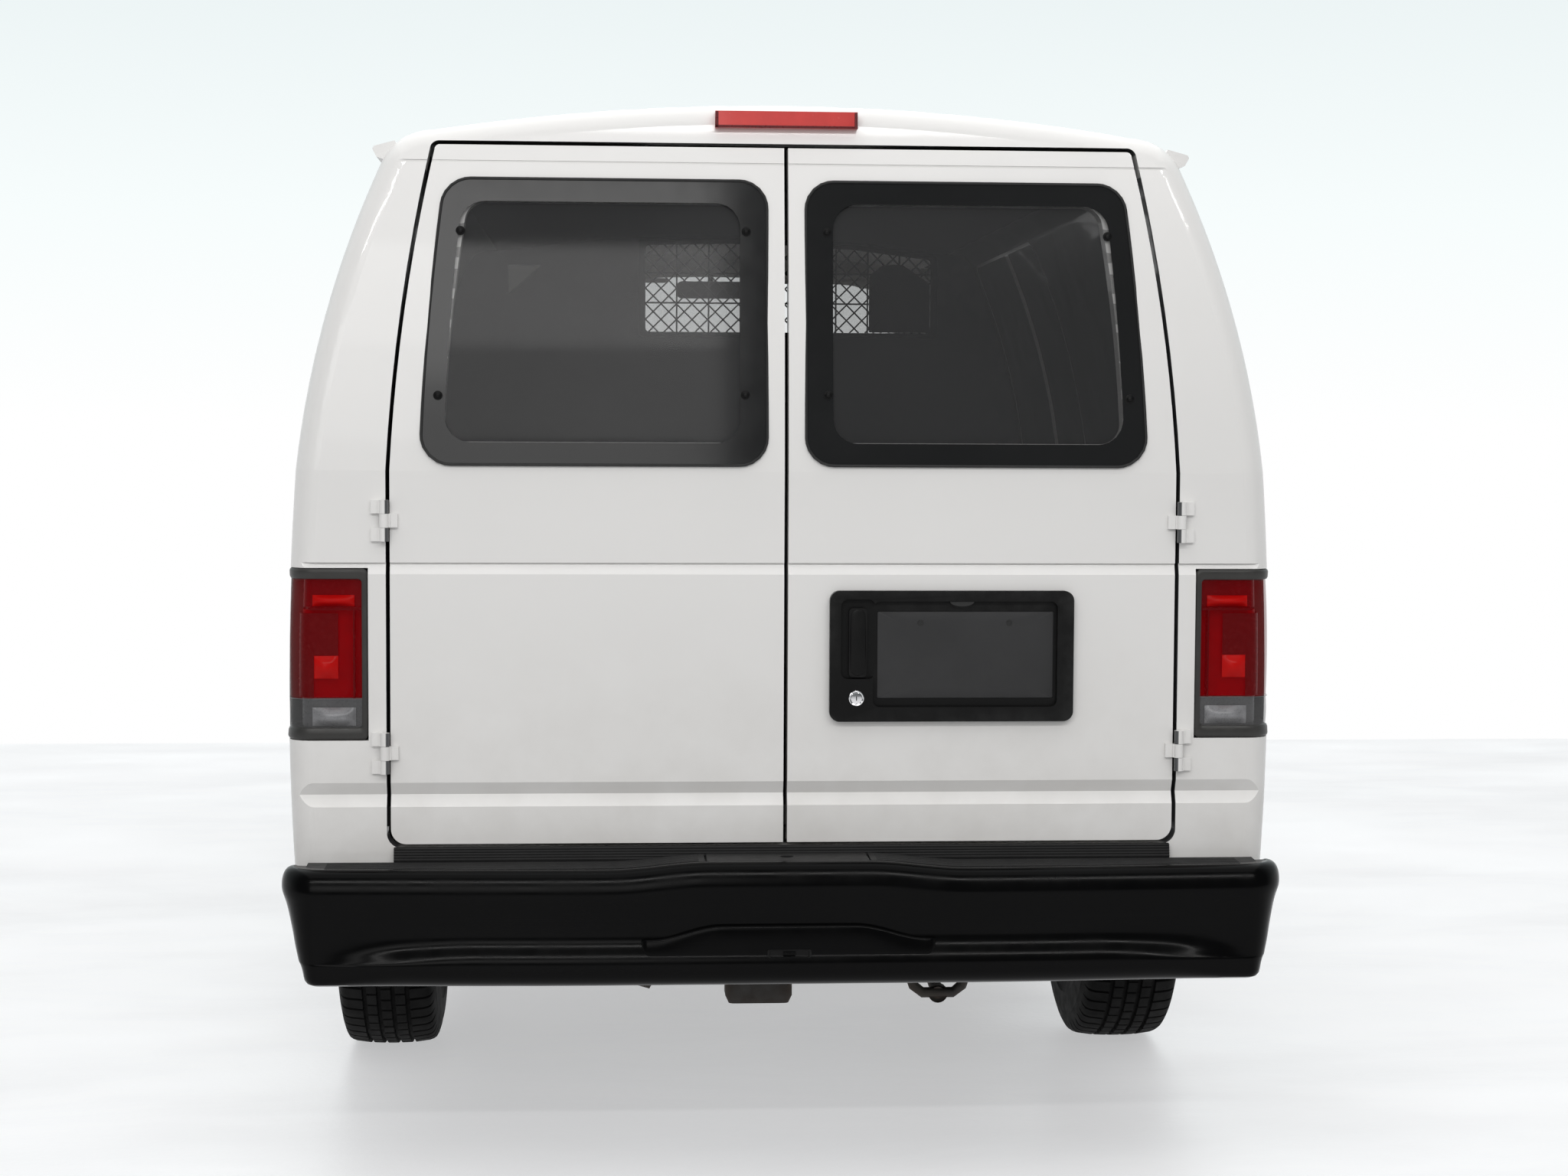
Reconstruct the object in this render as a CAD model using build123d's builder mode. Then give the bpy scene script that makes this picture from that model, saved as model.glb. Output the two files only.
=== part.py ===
"""Full-size cargo van: shell, doors, glass, chassis, axles and wheels, each piece its own solid.

Millimetres. X points to the van's right, Y forward, Z up; the origin is on the ground, under the
middle of the van's length and width.
"""
from math import cos, radians, sin
import os

from build123d import *

os.makedirs("parts", exist_ok=True)

# ---- driving sizes ----
wheelbase = 3505
rear_overhang = 1181
front_overhang = 818
front_track = 1763
rear_track = 1704
body_half = 1008        # widest half-width of the body side
widest_z = 1000
belt_half = body_half - 16
belt_z = 1368
rail_half = body_half - 178   # where the side meets the roof rail
rail_z = 1967
shoulder_half = body_half - 280   # where the roof's shoulder ends
shoulder_z = 2040
roof_z = 2097
sill_half = body_half - 53
sill_z = 430
wall = 50               # thickness of doors and body walls
door_gap = 8            # shut line round every door and lid
seam = 0.3              # clearance between pieces that almost touch

overall_length = wheelbase + rear_overhang + front_overhang
front_axle_y = overall_length / 2 - front_overhang
rear_axle_y = -overall_length / 2 + rear_overhang
nose_y = overall_length / 2 - 97          # front face of the sheet metal
tail_y = -overall_length / 2 + 150        # rear face of the doors below the belt
far = 4000                                # larger than any half size, for cutting tools

# rear face
tail_lean = 80          # how far the rear face leans forward at roof height
tail_corner = 50        # rounding of the rear corners
tail_narrow = 28        # how much narrower each side is at the tail than at the pillar

# windshield
screen_slope = 55       # degrees from the horizontal
screen_foot_y = front_axle_y - 144
screen_foot_z = 1290
screen_bow = 150        # how far its sides fall back behind the middle
screen_half = rail_half

# wheels
tyre_radius = 372
tyre_width = 225
rim_radius = 203
arch_radius = 430
axle_z = tyre_radius

# floor
floor_z = 700
floor_thickness = 40

# doors
door_bottom_z = 632
rear_door_half = 778
rear_door_top_half = 690
rear_door_top_z = 2008
side_door_top_z = 1945
side_door_bottom_z = 560
front_door_rear_y = 440
front_door_front_y = 1496
front_door_bottom_z = 500
cargo_door_front_y = 330
cargo_door_split_y = -330
cargo_door_rear_y = -800
cargo_split_gap = 12    # shut line between the two side cargo doors
cargo_lip = 12          # thickness of their free edges' lips, and
cargo_lip_length = 24   # how far the thick part of each door stands back behind its lip
pillar_y = 385          # middle of the post behind the front doors


def save(builder, name):
    """Label a finished piece and write its STEP file."""
    builder.part.label = name
    export_step(builder.part, f"parts/{name}.step")


def sides():
    """The two sides of the van, as a name and the sign of X."""
    return (("left", -1), ("right", 1))


def at_y(y):
    """Cross plane at y: local x is X, local y is Z, and extruding goes backwards."""
    return Plane.XZ.offset(-y)


def side_plane(x=0):
    """Lengthwise plane at x: local x is Y, local y is Z, and extruding goes to the right."""
    return Plane.YZ.offset(x)


def narrowing(y):
    """How far each side has come in at y: the body tapers from the pillar to the tail."""
    return tail_narrow * max(0, pillar_y - y) / (pillar_y - tail_y)


# ---- the body's outer form, at any depth below its skin ----
def body_section(inset, narrow=0):
    """Cross-section of the body behind the windshield."""
    sill, belt, widest, rail, shoulder = (
        half - narrow for half in (sill_half, belt_half, body_half, rail_half, shoulder_half))
    with BuildSketch() as section:
        low = sill_z - 4 * inset
        with BuildLine():
            Polyline((0, roof_z), (0, low), (sill, low))
            if inset:
                Line((sill, low), (sill, sill_z))
            Line((sill, sill_z), (belt, sill_z + 50))
            ThreePointArc((belt, sill_z + 50), (widest, widest_z), (belt, belt_z))
            mid = ((belt + rail) / 2 + 25, (belt_z + rail_z) / 2)
            ThreePointArc((belt, belt_z), mid, (rail, rail_z))
            bend = ((rail + shoulder) / 2 + 14, (rail_z + shoulder_z) / 2 + 14)
            ThreePointArc((rail, rail_z), bend, (shoulder, shoulder_z))
            crown = (shoulder / 2, shoulder_z + 0.75 * (roof_z - shoulder_z))
            ThreePointArc((shoulder, shoulder_z), crown, (0, roof_z))
        make_face()
        mirror(about=Plane.YZ)
        if inset:
            offset(amount=-inset, kind=Kind.INTERSECTION)
    return section.sketch


def body_profile(inset):
    """Side view of the body's rear end: upright to the belt, then leaning forward."""
    tail = tail_y + inset
    top = (tail + tail_lean, roof_z)
    with BuildSketch() as profile:
        with BuildLine():
            ThreePointArc((tail, belt_z), (tail + 0.35 * tail_lean, (belt_z + roof_z) / 2), top)
            Polyline(top, (top[0], far), (far, far), (far, 0), (tail, 0), (tail, belt_z))
        make_face()
    return profile.sketch


def screen_plane(inset):
    """Plane across the windshield's slope at its foot; local y is the outward normal."""
    c, s = cos(radians(screen_slope)), sin(radians(screen_slope))
    foot = (0, screen_foot_y - inset * s, screen_foot_z - inset * c)
    return Plane(origin=foot, x_dir=(1, 0, 0), z_dir=(0, -c, s))


def body_volume(inset, corner=0):
    """The body behind the hood, as one solid, `inset` below its skin."""
    with BuildPart() as volume:
        with BuildSketch(at_y(far / 2)):
            add(body_section(inset))
        extrude(amount=far / 2 - pillar_y)
        for y in (pillar_y, tail_y - 300):
            with BuildSketch(at_y(y)):
                add(body_section(inset, narrowing(y)))
        loft(ruled=True)
        with BuildSketch(side_plane(-far / 2)):
            add(body_profile(inset))
        extrude(amount=far, mode=Mode.INTERSECT)
        with BuildSketch(screen_plane(inset)):
            bow = screen_bow * (far / 4) ** 2 / screen_half ** 2
            with BuildLine():
                ThreePointArc((-far / 4, -bow), (0, 0), (far / 4, -bow))
                Polyline((far / 4, -bow), (far / 4, far), (-far / 4, far), (-far / 4, -bow))
            make_face()
        extrude(amount=far, both=True, mode=Mode.SUBTRACT)
        if corner:
            end = [edge for edge in volume.edges()
                   if edge.bounding_box().max.Y < tail_y + tail_lean + 30
                   and edge.bounding_box().min.Z > sill_z - 1
                   and edge.bounding_box().size.Z > 1]
            fillet(end, corner)
    return volume.part


# ---- the nose: fenders, hood and front panel ----
nose_stations = (
    # y, half-width, height of the top edge, corner radius of the top edge, crown of the hood
    (front_door_front_y - 250, belt_half + 4, 1330, 16, 2),
    (front_door_front_y + door_gap, belt_half + 4, 1318, 18, 4),
    (front_axle_y, belt_half, 1232, 60, 22),
    (nose_y - 260, belt_half - 30, 1150, 100, 24),
    (nose_y - 70, belt_half - 95, 1096, 120, 22),
    (nose_y, belt_half - 200, 1040, 130, 18),
)


def nose_section(half, top, corner, crown):
    """Cross-section of the nose: bulging sides, rounded shoulders, crowned hood."""
    with BuildSketch() as section:
        with BuildLine():
            Polyline((0, top + crown), (0, sill_z), (half - 40, sill_z), (half, sill_z + 50))
            ThreePointArc((half, sill_z + 50), (half + 12, 900), (half, top - corner))
            knee = (half - 0.293 * corner, top - 0.293 * corner)
            ThreePointArc((half, top - corner), knee, (half - corner, top))
            middle = ((half - corner) / 2, top + 0.75 * crown)
            ThreePointArc((half - corner, top), middle, (0, top + crown))
        make_face()
        mirror(about=Plane.YZ)
    return section.sketch


def nose_volume(inset):
    """The nose as one solid, `inset` below its skin."""
    with BuildPart() as volume:
        for y, half, top, corner, crown in nose_stations:
            ahead = inset if y > nose_y - 300 else 0
            with BuildSketch(at_y(y - ahead)):
                add(nose_section(half - inset, top - inset, corner, crown))
        loft(ruled=inset > 0)
    return volume.part


outer = body_volume(0, tail_corner)
inner = body_volume(wall)
nose = nose_volume(0)
nose_inner = nose_volume(wall)


# ---- door outlines; `grow` is positive for the hole and zero for the leaf ----
def rear_opening(grow):
    """Rear door opening, seen from behind."""
    low, high = rear_door_half + grow, rear_door_top_half + grow
    with BuildSketch() as opening:
        with BuildLine():
            Polyline((0, door_bottom_z - grow), (low, door_bottom_z - grow), (low, belt_z))
            mid = ((low + high) / 2 + 14, (belt_z + rear_door_top_z) / 2)
            ThreePointArc((low, belt_z), mid, (high, rear_door_top_z + grow))
            Polyline((high, rear_door_top_z + grow), (0, rear_door_top_z + grow), (0, door_bottom_z - grow))
        make_face()
        fillet(opening.vertices().group_by(Axis.X)[-1].sort_by(Axis.Y)[0], 30)
        fillet(opening.vertices().group_by(Axis.Y)[-1].sort_by(Axis.X)[-1], 10 + grow)
        mirror(about=Plane.YZ)
    return opening.sketch


def front_door_opening(grow):
    """Front door opening in side view, with the sloping post ahead of the window."""
    rear, front = front_door_rear_y - grow, front_door_front_y + grow
    low, high = front_door_bottom_z - grow, side_door_top_z + grow
    slope = 450 / 645
    foot_z = 1379
    top_front = front - (high - foot_z) * slope
    with BuildSketch() as opening:
        with BuildLine():
            Polyline((rear, low), (front, low), (front, foot_z), (top_front, high), (rear, high), close=True)
        make_face()
        fillet(opening.vertices().group_by(Axis.X)[-1].sort_by(Axis.Y)[-1], 120)
        fillet(opening.vertices().group_by(Axis.Y)[-1], 60 + grow)
        fillet(opening.vertices().group_by(Axis.Y)[0], 60 + grow)
    return opening.sketch


def cargo_opening(rear, front, grow):
    """Side cargo door opening in side view."""
    with BuildSketch() as opening:
        with Locations(((rear + front) / 2, (side_door_top_z + side_door_bottom_z) / 2)):
            Rectangle(front - rear + 2 * grow, side_door_top_z - side_door_bottom_z + 2 * grow)
        fillet(opening.vertices(), 45 + grow)
    return opening.sketch


def prism(plane, sketch, length):
    """A long cutting tool from a sketch."""
    with BuildPart() as tool:
        with BuildSketch(plane):
            add(sketch)
        extrude(amount=length)
    return tool.part


def region(low, high):
    """A box between two corners, as a cutting or selecting tool."""
    size = [b - a for a, b in zip(low, high)]
    with BuildPart(mode=Mode.PRIVATE) as tool:
        with Locations(tuple((a + b) / 2 for a, b in zip(low, high))):
            Box(*size)
    return tool.part


def side_prism(sketch, side):
    """Prism through one side wall, from the middle of the van outwards."""
    tool = prism(side_plane(0), sketch, far / 2)
    return tool if side > 0 else mirror(tool, about=Plane.YZ, mode=Mode.PRIVATE)


shell = outer - inner
rear_hole = prism(at_y(tail_y + 400), rear_opening(door_gap), 800)


def stamped_recess(rear, front, low, high, radius=40):
    """Outline of a shallow pressed panel in side view."""
    with BuildSketch() as outline:
        with Locations(((rear + front) / 2, (low + high) / 2)):
            Rectangle(front - rear, high - low)
        fillet(outline.vertices(), radius)
    return outline.sketch


skin_outer = outer - body_volume(7)
skin_fine = outer - body_volume(3.5)
recess_low, recess_high = belt_z + 14, side_door_top_z - 55


def press_recess(builder_part, side, rear, front):
    """Press a stepped panel recess into one side."""
    wide = side_prism(stamped_recess(rear, front, recess_low, recess_high), side)
    narrow = side_prism(stamped_recess(rear + 9, front - 9, recess_low + 9, recess_high - 9, 34), side)
    return builder_part - (skin_fine & wide) - (skin_outer & narrow)


# V-shaped creases: one round the lower body, one across the rear doors
def side_crease(side):
    """Crease along the lower body side."""
    with BuildPart() as groove:
        with BuildSketch(at_y(far / 2)):
            with BuildLine():
                x = body_half - 9
                Polyline((x, 730), (x + 60, 730 + 110), (x + 60, 730 - 110), close=True)
            make_face()
        extrude(amount=far * 1.3)
    return groove.part if side > 0 else mirror(groove.part, about=Plane.YZ, mode=Mode.PRIVATE)


with BuildPart() as rear_creases:
    with BuildSketch(side_plane(-far / 4)):
        with BuildLine():
            Polyline((tail_y + 10, 730), (tail_y - 40, 730 + 120), (tail_y - 40, 730 - 120), close=True)
        make_face()
        with BuildLine():
            Polyline((tail_y + 7, 1188), (tail_y - 20, 1188), (tail_y - 20, 1100), close=True)
        make_face()
        with Locations((tail_y + tail_lean - 25, 1975)):
            Rectangle(14, 5)
    extrude(amount=far / 2)
creases = rear_creases.part


# ---- tail lamps, set into the rear corners ----
lamp_in, lamp_low, lamp_high = 821, 838, 1177


def tail_lamp_box(side, grow):
    x1, x2 = sorted((side * (lamp_in - grow), side * (body_half + 40)))
    return region((x1, tail_y - 40, lamp_low - grow), (x2, tail_y + 85 + grow, lamp_high + grow))


with BuildPart() as tail_lamps:
    for name, side in sides():
        add((outer - body_volume(40)) & tail_lamp_box(side, 0))
save(tail_lamps, "tail_lamps")

# ---- rear doors ----
glass_depth = 4
glass_thickness = 6
glass_in, glass_out, glass_top_out = 38, 719, 672
glass_low, glass_high = 1380, 1942
frame_lip = 45


def rear_glass_outline(side, margin):
    """Rear window, seen from behind; `margin` shrinks it all round."""
    with BuildSketch() as outline:
        with BuildLine():
            low, high = glass_low + margin, glass_high - margin
            x_in = side * (glass_in + margin)
            mid = (side * ((glass_out + glass_top_out) / 2 + 8 - margin), (low + high) / 2)
            ThreePointArc((side * (glass_out - margin), low), mid, (side * (glass_top_out - margin), high))
            Polyline((side * (glass_top_out - margin), high), (x_in, high), (x_in, low),
                     (side * (glass_out - margin), low))
        make_face()
        fillet(outline.vertices(), 55 - margin / 3)
    return outline.sketch


glass_skin = body_volume(glass_depth) - body_volume(glass_depth + glass_thickness)
rebate_skin = outer - body_volume(glass_depth + glass_thickness)
leaf_skin = shell & region((-far, tail_y - 10, 0), (far, tail_y + tail_lean + wall + 20, far))

# ---- hinges: upright barrels on the skin, each with its pin ----
hinge_reach = 10        # axis to the door's edge, sideways
hinge_proud = 12        # axis to the door's skin, outwards
pin_radius = 4
knuckle_radius = 9
pin_clearance = 0.06
hinge_spans = ((1230, 1311), (773, 854))


def outset_hinge(centre, along, out, moving, leaf_length, sink):
    """One half of a pair of barrel hinges at `centre`, in plan.

    `along` is the direction from the pin towards the half's own panel, and `out` points away
    from the skin. The fixed half has two knuckles and the pin, the moving half the middle knuckle.
    The leaf is let into the skin by `sink`.
    """
    centre, along, out = Vector(*centre), Vector(*along), Vector(*out)
    with BuildPart() as half:
        for low, high in hinge_spans:
            third = (high - low) / 3
            levels = [(low + third, third)] if moving else [(low, third - 0.5), (high - third + 0.5, third - 0.5)]
            for level, height in levels:
                leaf = centre + along * (6 + leaf_length / 2) - out * (hinge_proud - 4 + sink / 2)
                web = centre + along * 6 - out * (hinge_proud / 2 - 1)
                with BuildSketch(Plane.XY.offset(level)):
                    with Locations((centre.X, centre.Y)):
                        Circle(knuckle_radius)
                    with Locations((web.X, web.Y)):
                        Rectangle(*((11, hinge_proud - 2) if along.Y == 0 else (hinge_proud - 2, 11)))
                    with Locations((leaf.X, leaf.Y)):
                        Rectangle(*((leaf_length, 8 + sink) if along.Y == 0 else (8 + sink, leaf_length)))
                extrude(amount=height)
            if moving:
                with BuildSketch(Plane.XY.offset(low)):
                    with Locations((centre.X, centre.Y)):
                        Circle(pin_radius + pin_clearance)
                extrude(amount=high - low, mode=Mode.SUBTRACT)
            else:
                with BuildSketch(Plane.XY.offset(low)):
                    with Locations((centre.X, centre.Y)):
                        Circle(pin_radius)
                extrude(amount=high - low)
    return half.part


def rear_hinge(side, moving):
    centre = (side * (rear_door_half + hinge_reach), tail_y - hinge_proud, 0)
    along = (-side if moving else side, 0, 0)
    return outset_hinge(centre, along, (0, -1, 0), moving, 20, 1)


def cargo_hinge(y, forward, moving):
    """Hinge of a side cargo door; `forward` is 1 where the fixed panel lies ahead of it."""
    axis_y = y + forward * hinge_reach
    centre = (body_half - 2 + hinge_proud - narrowing(axis_y), axis_y, 0)
    return outset_hinge(centre, (0, -forward if moving else forward, 0), (1, 0, 0), moving, 34, 14)


slim_pin, slim_barrel = 1.8, 3.3
door_hinge_spans = ((640, 700), (1130, 1190))


def gap_hinge(side, moving):
    """Slim barrel hinges inside the shut line ahead of a front door."""
    x, y = side * (body_half - 4), front_door_front_y + door_gap / 2
    with BuildPart() as half:
        for low, high in door_hinge_spans:
            third = (high - low) / 3
            levels = [(low + third, third)] if moving else [(low, third - 0.5), (high - third + 0.5, third - 0.5)]
            for level, height in levels:
                with BuildSketch(Plane.XY.offset(level)):
                    with Locations((x, y)):
                        Circle(slim_barrel)
                    with Locations((x - side * 2.5, y + (-3.5 if moving else 3.5))):
                        Rectangle(5, 7)
                extrude(amount=height)
            with BuildSketch(Plane.XY.offset(low)):
                with Locations((x, y)):
                    Circle(slim_pin + pin_clearance if moving else slim_pin)
            extrude(amount=high - low, mode=Mode.SUBTRACT if moving else Mode.ADD)
    return half.part


for name, side in sides():
    x1, x2 = sorted((side * door_gap / 2, side * far))
    half_space = region((x1, -far, 0), (x2, far, far))
    with BuildPart() as rear_door:
        add(leaf_skin & prism(at_y(tail_y + 400), rear_opening(0), 800) & half_space)
        add(creases, mode=Mode.SUBTRACT)
        add(rebate_skin & prism(at_y(tail_y + 400), rear_glass_outline(side, 0), 800), mode=Mode.SUBTRACT)
        add(prism(at_y(tail_y + 400), rear_glass_outline(side, frame_lip), 800), mode=Mode.SUBTRACT)
        add(rear_hinge(side, True))
    save(rear_door, f"rear_door_{name}")
    with BuildPart() as rear_glass:
        add(glass_skin & prism(at_y(tail_y + 400), rear_glass_outline(side, seam), 800))
    save(rear_glass, f"rear_glass_{name}")

# handle and plate bezel, on the right door
bezel_in, bezel_out, bezel_low, bezel_high = 86, 573, 874, 1134
plate_x, plate_z = 356, 1008
with BuildPart() as rear_handle:
    with BuildSketch(at_y(tail_y)):
        with Locations(((bezel_in + bezel_out) / 2, (bezel_low + bezel_high) / 2)):
            RectangleRounded(bezel_out - bezel_in, bezel_high - bezel_low, 20)
    extrude(amount=16)
    with BuildSketch(at_y(tail_y - 4)):
        with Locations((plate_x, (bezel_low + bezel_high) / 2 + 4)):
            RectangleRounded(368, 210, 14)
    extrude(amount=20, mode=Mode.SUBTRACT)
    with BuildSketch(at_y(tail_y - 4)):
        with Locations((142, 1038)):
            RectangleRounded(68, 158, 14)
    extrude(amount=20, mode=Mode.SUBTRACT)
    with BuildSketch(at_y(tail_y - 4)):
        with Locations((142, 1031)):
            RectangleRounded(36, 137, 8)
    extrude(amount=10)
    with BuildSketch(at_y(tail_y - 15)):
        with Locations((139, 921)):
            Circle(15)
    extrude(amount=4)
    with Locations([(plate_x - 88.9, tail_y, plate_z + 62), (plate_x + 88.9, tail_y, plate_z + 62)]):
        Cylinder(3.5, 60, rotation=(90, 0, 0), mode=Mode.SUBTRACT)
save(rear_handle, "rear_handle")

# ---- side and front doors ----
front_window_low, front_window_high = 1335, 1885


def door_window(margin):
    """Front door window in side view; `margin` grows it all round."""
    rear, low, high = front_door_rear_y + 85 - margin, front_window_low - margin, front_window_high + margin
    slope = 450 / 645
    front = front_door_front_y - 78 + margin
    top_front = front - 75 - (high - 1379) * slope
    with BuildSketch() as window:
        with BuildLine():
            Polyline((rear, low), (front, low), (top_front, high), (rear, high), close=True)
        make_face()
        fillet(window.vertices(), 38 + margin)
    return window.sketch


pane_depth = 14
pane_skin = body_volume(pane_depth) - body_volume(pane_depth + 5)
for name, side in sides():
    leaf = shell & side_prism(front_door_opening(0), side)
    with BuildPart() as front_door:
        add(leaf)
        add(side_crease(side), mode=Mode.SUBTRACT)
        add(side_prism(door_window(0), side), mode=Mode.SUBTRACT)
        add(pane_skin & side_prism(door_window(12), side), mode=Mode.SUBTRACT)
        add(gap_hinge(side, True))
    save(front_door, f"front_door_{name}")
    with BuildPart() as pane:
        add(pane_skin & side_prism(door_window(12), side))
    save(pane, f"front_window_{name}")

# The upright hinges stand well outside the leaning upper half of these doors, so their free edges
# swing past one another only where the thick part stands back behind a thin lip.
cargo_leaves = (
    ("side_door_front", cargo_door_split_y + cargo_split_gap / 2, cargo_door_front_y),
    ("side_door_rear", cargo_door_rear_y, cargo_door_split_y - cargo_split_gap / 2),
)
lip_back = cargo_split_gap / 2 + cargo_lip_length
lip_cut = body_volume(cargo_lip) & region(
    (0, cargo_door_split_y - lip_back, 0), (far, cargo_door_split_y + lip_back, far))
for name, rear, front in cargo_leaves:
    with BuildPart() as cargo_door:
        leaf = shell & side_prism(cargo_opening(cargo_door_rear_y, cargo_door_front_y, 0), 1)
        leaf = (leaf & region((0, rear, 0), (far, front, far))) - lip_cut
        add(press_recess(leaf, 1, rear + 60, front - 60))
        add(side_crease(1), mode=Mode.SUBTRACT)
        if front == cargo_door_front_y:
            add(cargo_hinge(front, 1, True))
        else:
            add(cargo_hinge(rear, -1, True))
    save(cargo_door, name)

# ---- side panels ----
side_recesses = ((-2470, -1650), (-1570, -860), (-740, 330))


def arch_cutter(y, radius, x_in):
    """Round cutter for a wheel opening, from x_in outwards on both sides."""
    with BuildPart() as cutter:
        for x in (x_in, -far):
            with BuildSketch(side_plane(x)):
                with Locations((y, axle_z)):
                    Circle(radius)
            extrude(amount=far - x_in)
    return cutter.part


rear_arch = arch_cutter(rear_axle_y, arch_radius - 25, 700)
roof_split_z = 1958
cowl_z = 1205
hood_half_rear, hood_half_front = 800, 745
for name, side in sides():
    x1, x2 = sorted((0, side * far))
    rear_end, front_end = -far, front_door_rear_y + 60
    with BuildPart() as side_panel:
        panel = shell & region((x1, rear_end, sill_z), (x2, front_end, roof_split_z))
        panel = panel - rear_hole - side_prism(front_door_opening(door_gap), side)
        panel = panel - rear_arch - creases - side_crease(side) - tail_lamp_box(side, seam)
        panel = panel - region((x1, rear_end, 0), (x2, rear_axle_y, 579))
        for recess_rear, recess_front in side_recesses:
            if side < 0 or recess_front < cargo_door_rear_y:
                panel = press_recess(panel, side, recess_rear, recess_front)
        if side > 0:
            panel = panel - side_prism(cargo_opening(cargo_door_rear_y, cargo_door_front_y, door_gap), side)
        add(panel)
        add(rear_hinge(side, False))
        if side > 0:
            add(cargo_hinge(cargo_door_front_y, 1, False))
            add(cargo_hinge(cargo_door_rear_y, -1, False))
    save(side_panel, f"side_panel_{name}")

# ---- roof with drip rails ----
header_y = 1060         # where the roof panel meets the windshield frame
with BuildPart() as roof_panel:
    add(shell & region((-far, -far, roof_split_z), (far, header_y, far)))
    add(rear_hole, mode=Mode.SUBTRACT)
    for name, side in sides():
        with BuildSketch(at_y(header_y)):
            with BuildLine():
                x = side * rail_half
                Polyline((x - side * 12, 1979), (x + side * 6, 1986), (x + side * 14, 2001),
                         (x + side * 11, 2007), (x - side * 30, 2018), (x - side * 44, 1989), close=True)
            make_face()
        extrude(amount=header_y - pillar_y)
        with BuildSketch(at_y(pillar_y)):
            with BuildLine():
                Polyline((x - side * 12, 1979), (x + side * 6, 1986), (x + side * 14, 2001),
                         (x + side * 11, 2007), (x - side * 30, 2018), (x - side * 44, 1989), close=True)
            make_face()
        along = (-side * tail_narrow, tail_y - pillar_y, 0)
        extrude(amount=pillar_y - tail_y - 100, dir=along)
    add(creases, mode=Mode.SUBTRACT)
save(roof_panel, "roof_panel")

with BuildPart() as high_stop_lamp:
    add(region((-141, tail_y + tail_lean - 26, 2046), (141, tail_y + tail_lean + 30, 2079)) - outer)
save(high_stop_lamp, "high_stop_lamp")

# ---- windshield frame and windshield ----
with BuildPart() as screen_surround:
    frame = shell & region((-far, header_y, cowl_z + 26), (far, far, far))
    for name, side in sides():
        frame = frame - side_prism(front_door_opening(door_gap), side)
    frame = frame - region((-far, 0, 0), (far, far, screen_foot_z)) + (
        frame & region((-hood_half_rear, 0, 0), (hood_half_rear, far, screen_foot_z)))
    add(frame)

screen_margin = 26


def screen_cutter(margin):
    """Windshield opening, cut square to the sloping screen; `margin` shrinks it."""
    plane = screen_plane(0)
    low, high = 35 + margin, 885 - margin
    with BuildSketch() as outline:
        with BuildLine():
            Polyline((0, low), (screen_half - 40 - margin, low), (screen_half - 205 - margin, high),
                     (0, high), close=True)
        make_face()
        fillet(outline.vertices().group_by(Axis.X)[-1], 20)
        mirror(about=Plane.YZ)
    with BuildPart() as tool:
        with BuildSketch(Plane(origin=plane.origin - plane.y_dir * 400, x_dir=(-1, 0, 0), z_dir=plane.y_dir)):
            add(outline.sketch)
        extrude(amount=800)
    return tool.part


screen_depth, screen_thickness = 4, 7
screen_skin = body_volume(screen_depth) - body_volume(screen_depth + screen_thickness)
screen_rebate = outer - body_volume(screen_depth + screen_thickness)
with BuildPart() as windshield_frame:
    add(screen_surround.part)
    add(screen_rebate & screen_cutter(0), mode=Mode.SUBTRACT)
    add(screen_cutter(screen_margin), mode=Mode.SUBTRACT)
save(windshield_frame, "windshield_frame")

with BuildPart() as windshield:
    add(screen_skin & screen_cutter(seam))
save(windshield, "windshield")

# ---- nose: hood, fenders, front panel, cowl ----
hood_rear_y = screen_foot_y + 64
hood_front_y = nose_y - 75
front_panel_y = nose_y - 190
hood_thickness = 32
hood_gap = 12           # shut line behind the hood, with the hinge barrels in it
hood_hinge_x = 330
hood_hinge_y = hood_rear_y - hood_gap / 2
hood_hinge_z = (nose & region((-1, hood_hinge_y - 1, 1000), (1, hood_hinge_y + 1, far))).bounding_box().max.Z
hood_barrel = 4.5


def hood_outline(grow):
    """Hood in plan; `grow` makes the opening."""
    with BuildSketch() as outline:
        with BuildLine():
            Polyline((0, hood_rear_y - (hood_gap if grow else 0)),
                     (hood_half_rear + grow, hood_rear_y - (hood_gap if grow else 0)),
                     (hood_half_front + grow, hood_front_y + grow), (0, hood_front_y + grow), close=True)
        make_face()
        fillet(outline.vertices().group_by(Axis.Y)[-1].sort_by(Axis.X)[-1], 60)
        mirror(about=Plane.YZ)
    return outline.sketch


def hood_hinge(moving):
    """Slim barrel hinges along X in the shut line behind the hood."""
    with BuildPart() as half:
        for name, side in sides():
            spans = ((-10, 10),) if moving else ((-30, -10.5), (10.5, 30))
            for low, high in spans:
                with BuildSketch(side_plane(side * hood_hinge_x + low)):
                    with Locations((hood_hinge_y, hood_hinge_z)):
                        Circle(hood_barrel)
                    with Locations((hood_hinge_y + (5 if moving else -5), hood_hinge_z - 8)):
                        Rectangle(10, 11)
                    with Locations((hood_hinge_y + (2 if moving else -2), hood_hinge_z - 3)):
                        Rectangle(4, 6)
                extrude(amount=high - low)
            with BuildSketch(side_plane(side * hood_hinge_x - 30)):
                with Locations((hood_hinge_y, hood_hinge_z)):
                    Circle(slim_pin + pin_clearance if moving else slim_pin)
            extrude(amount=60, mode=Mode.SUBTRACT if moving else Mode.ADD)
    return half.part


nose_skin = nose - nose_inner
hood_hole = prism(Plane.XY.offset(1000), hood_outline(door_gap), 600)
with BuildPart() as hood:
    add((nose - nose_volume(hood_thickness)) & prism(Plane.XY.offset(900), hood_outline(0), 700))
    add(hood_hinge(True))
save(hood, "hood")

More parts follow.
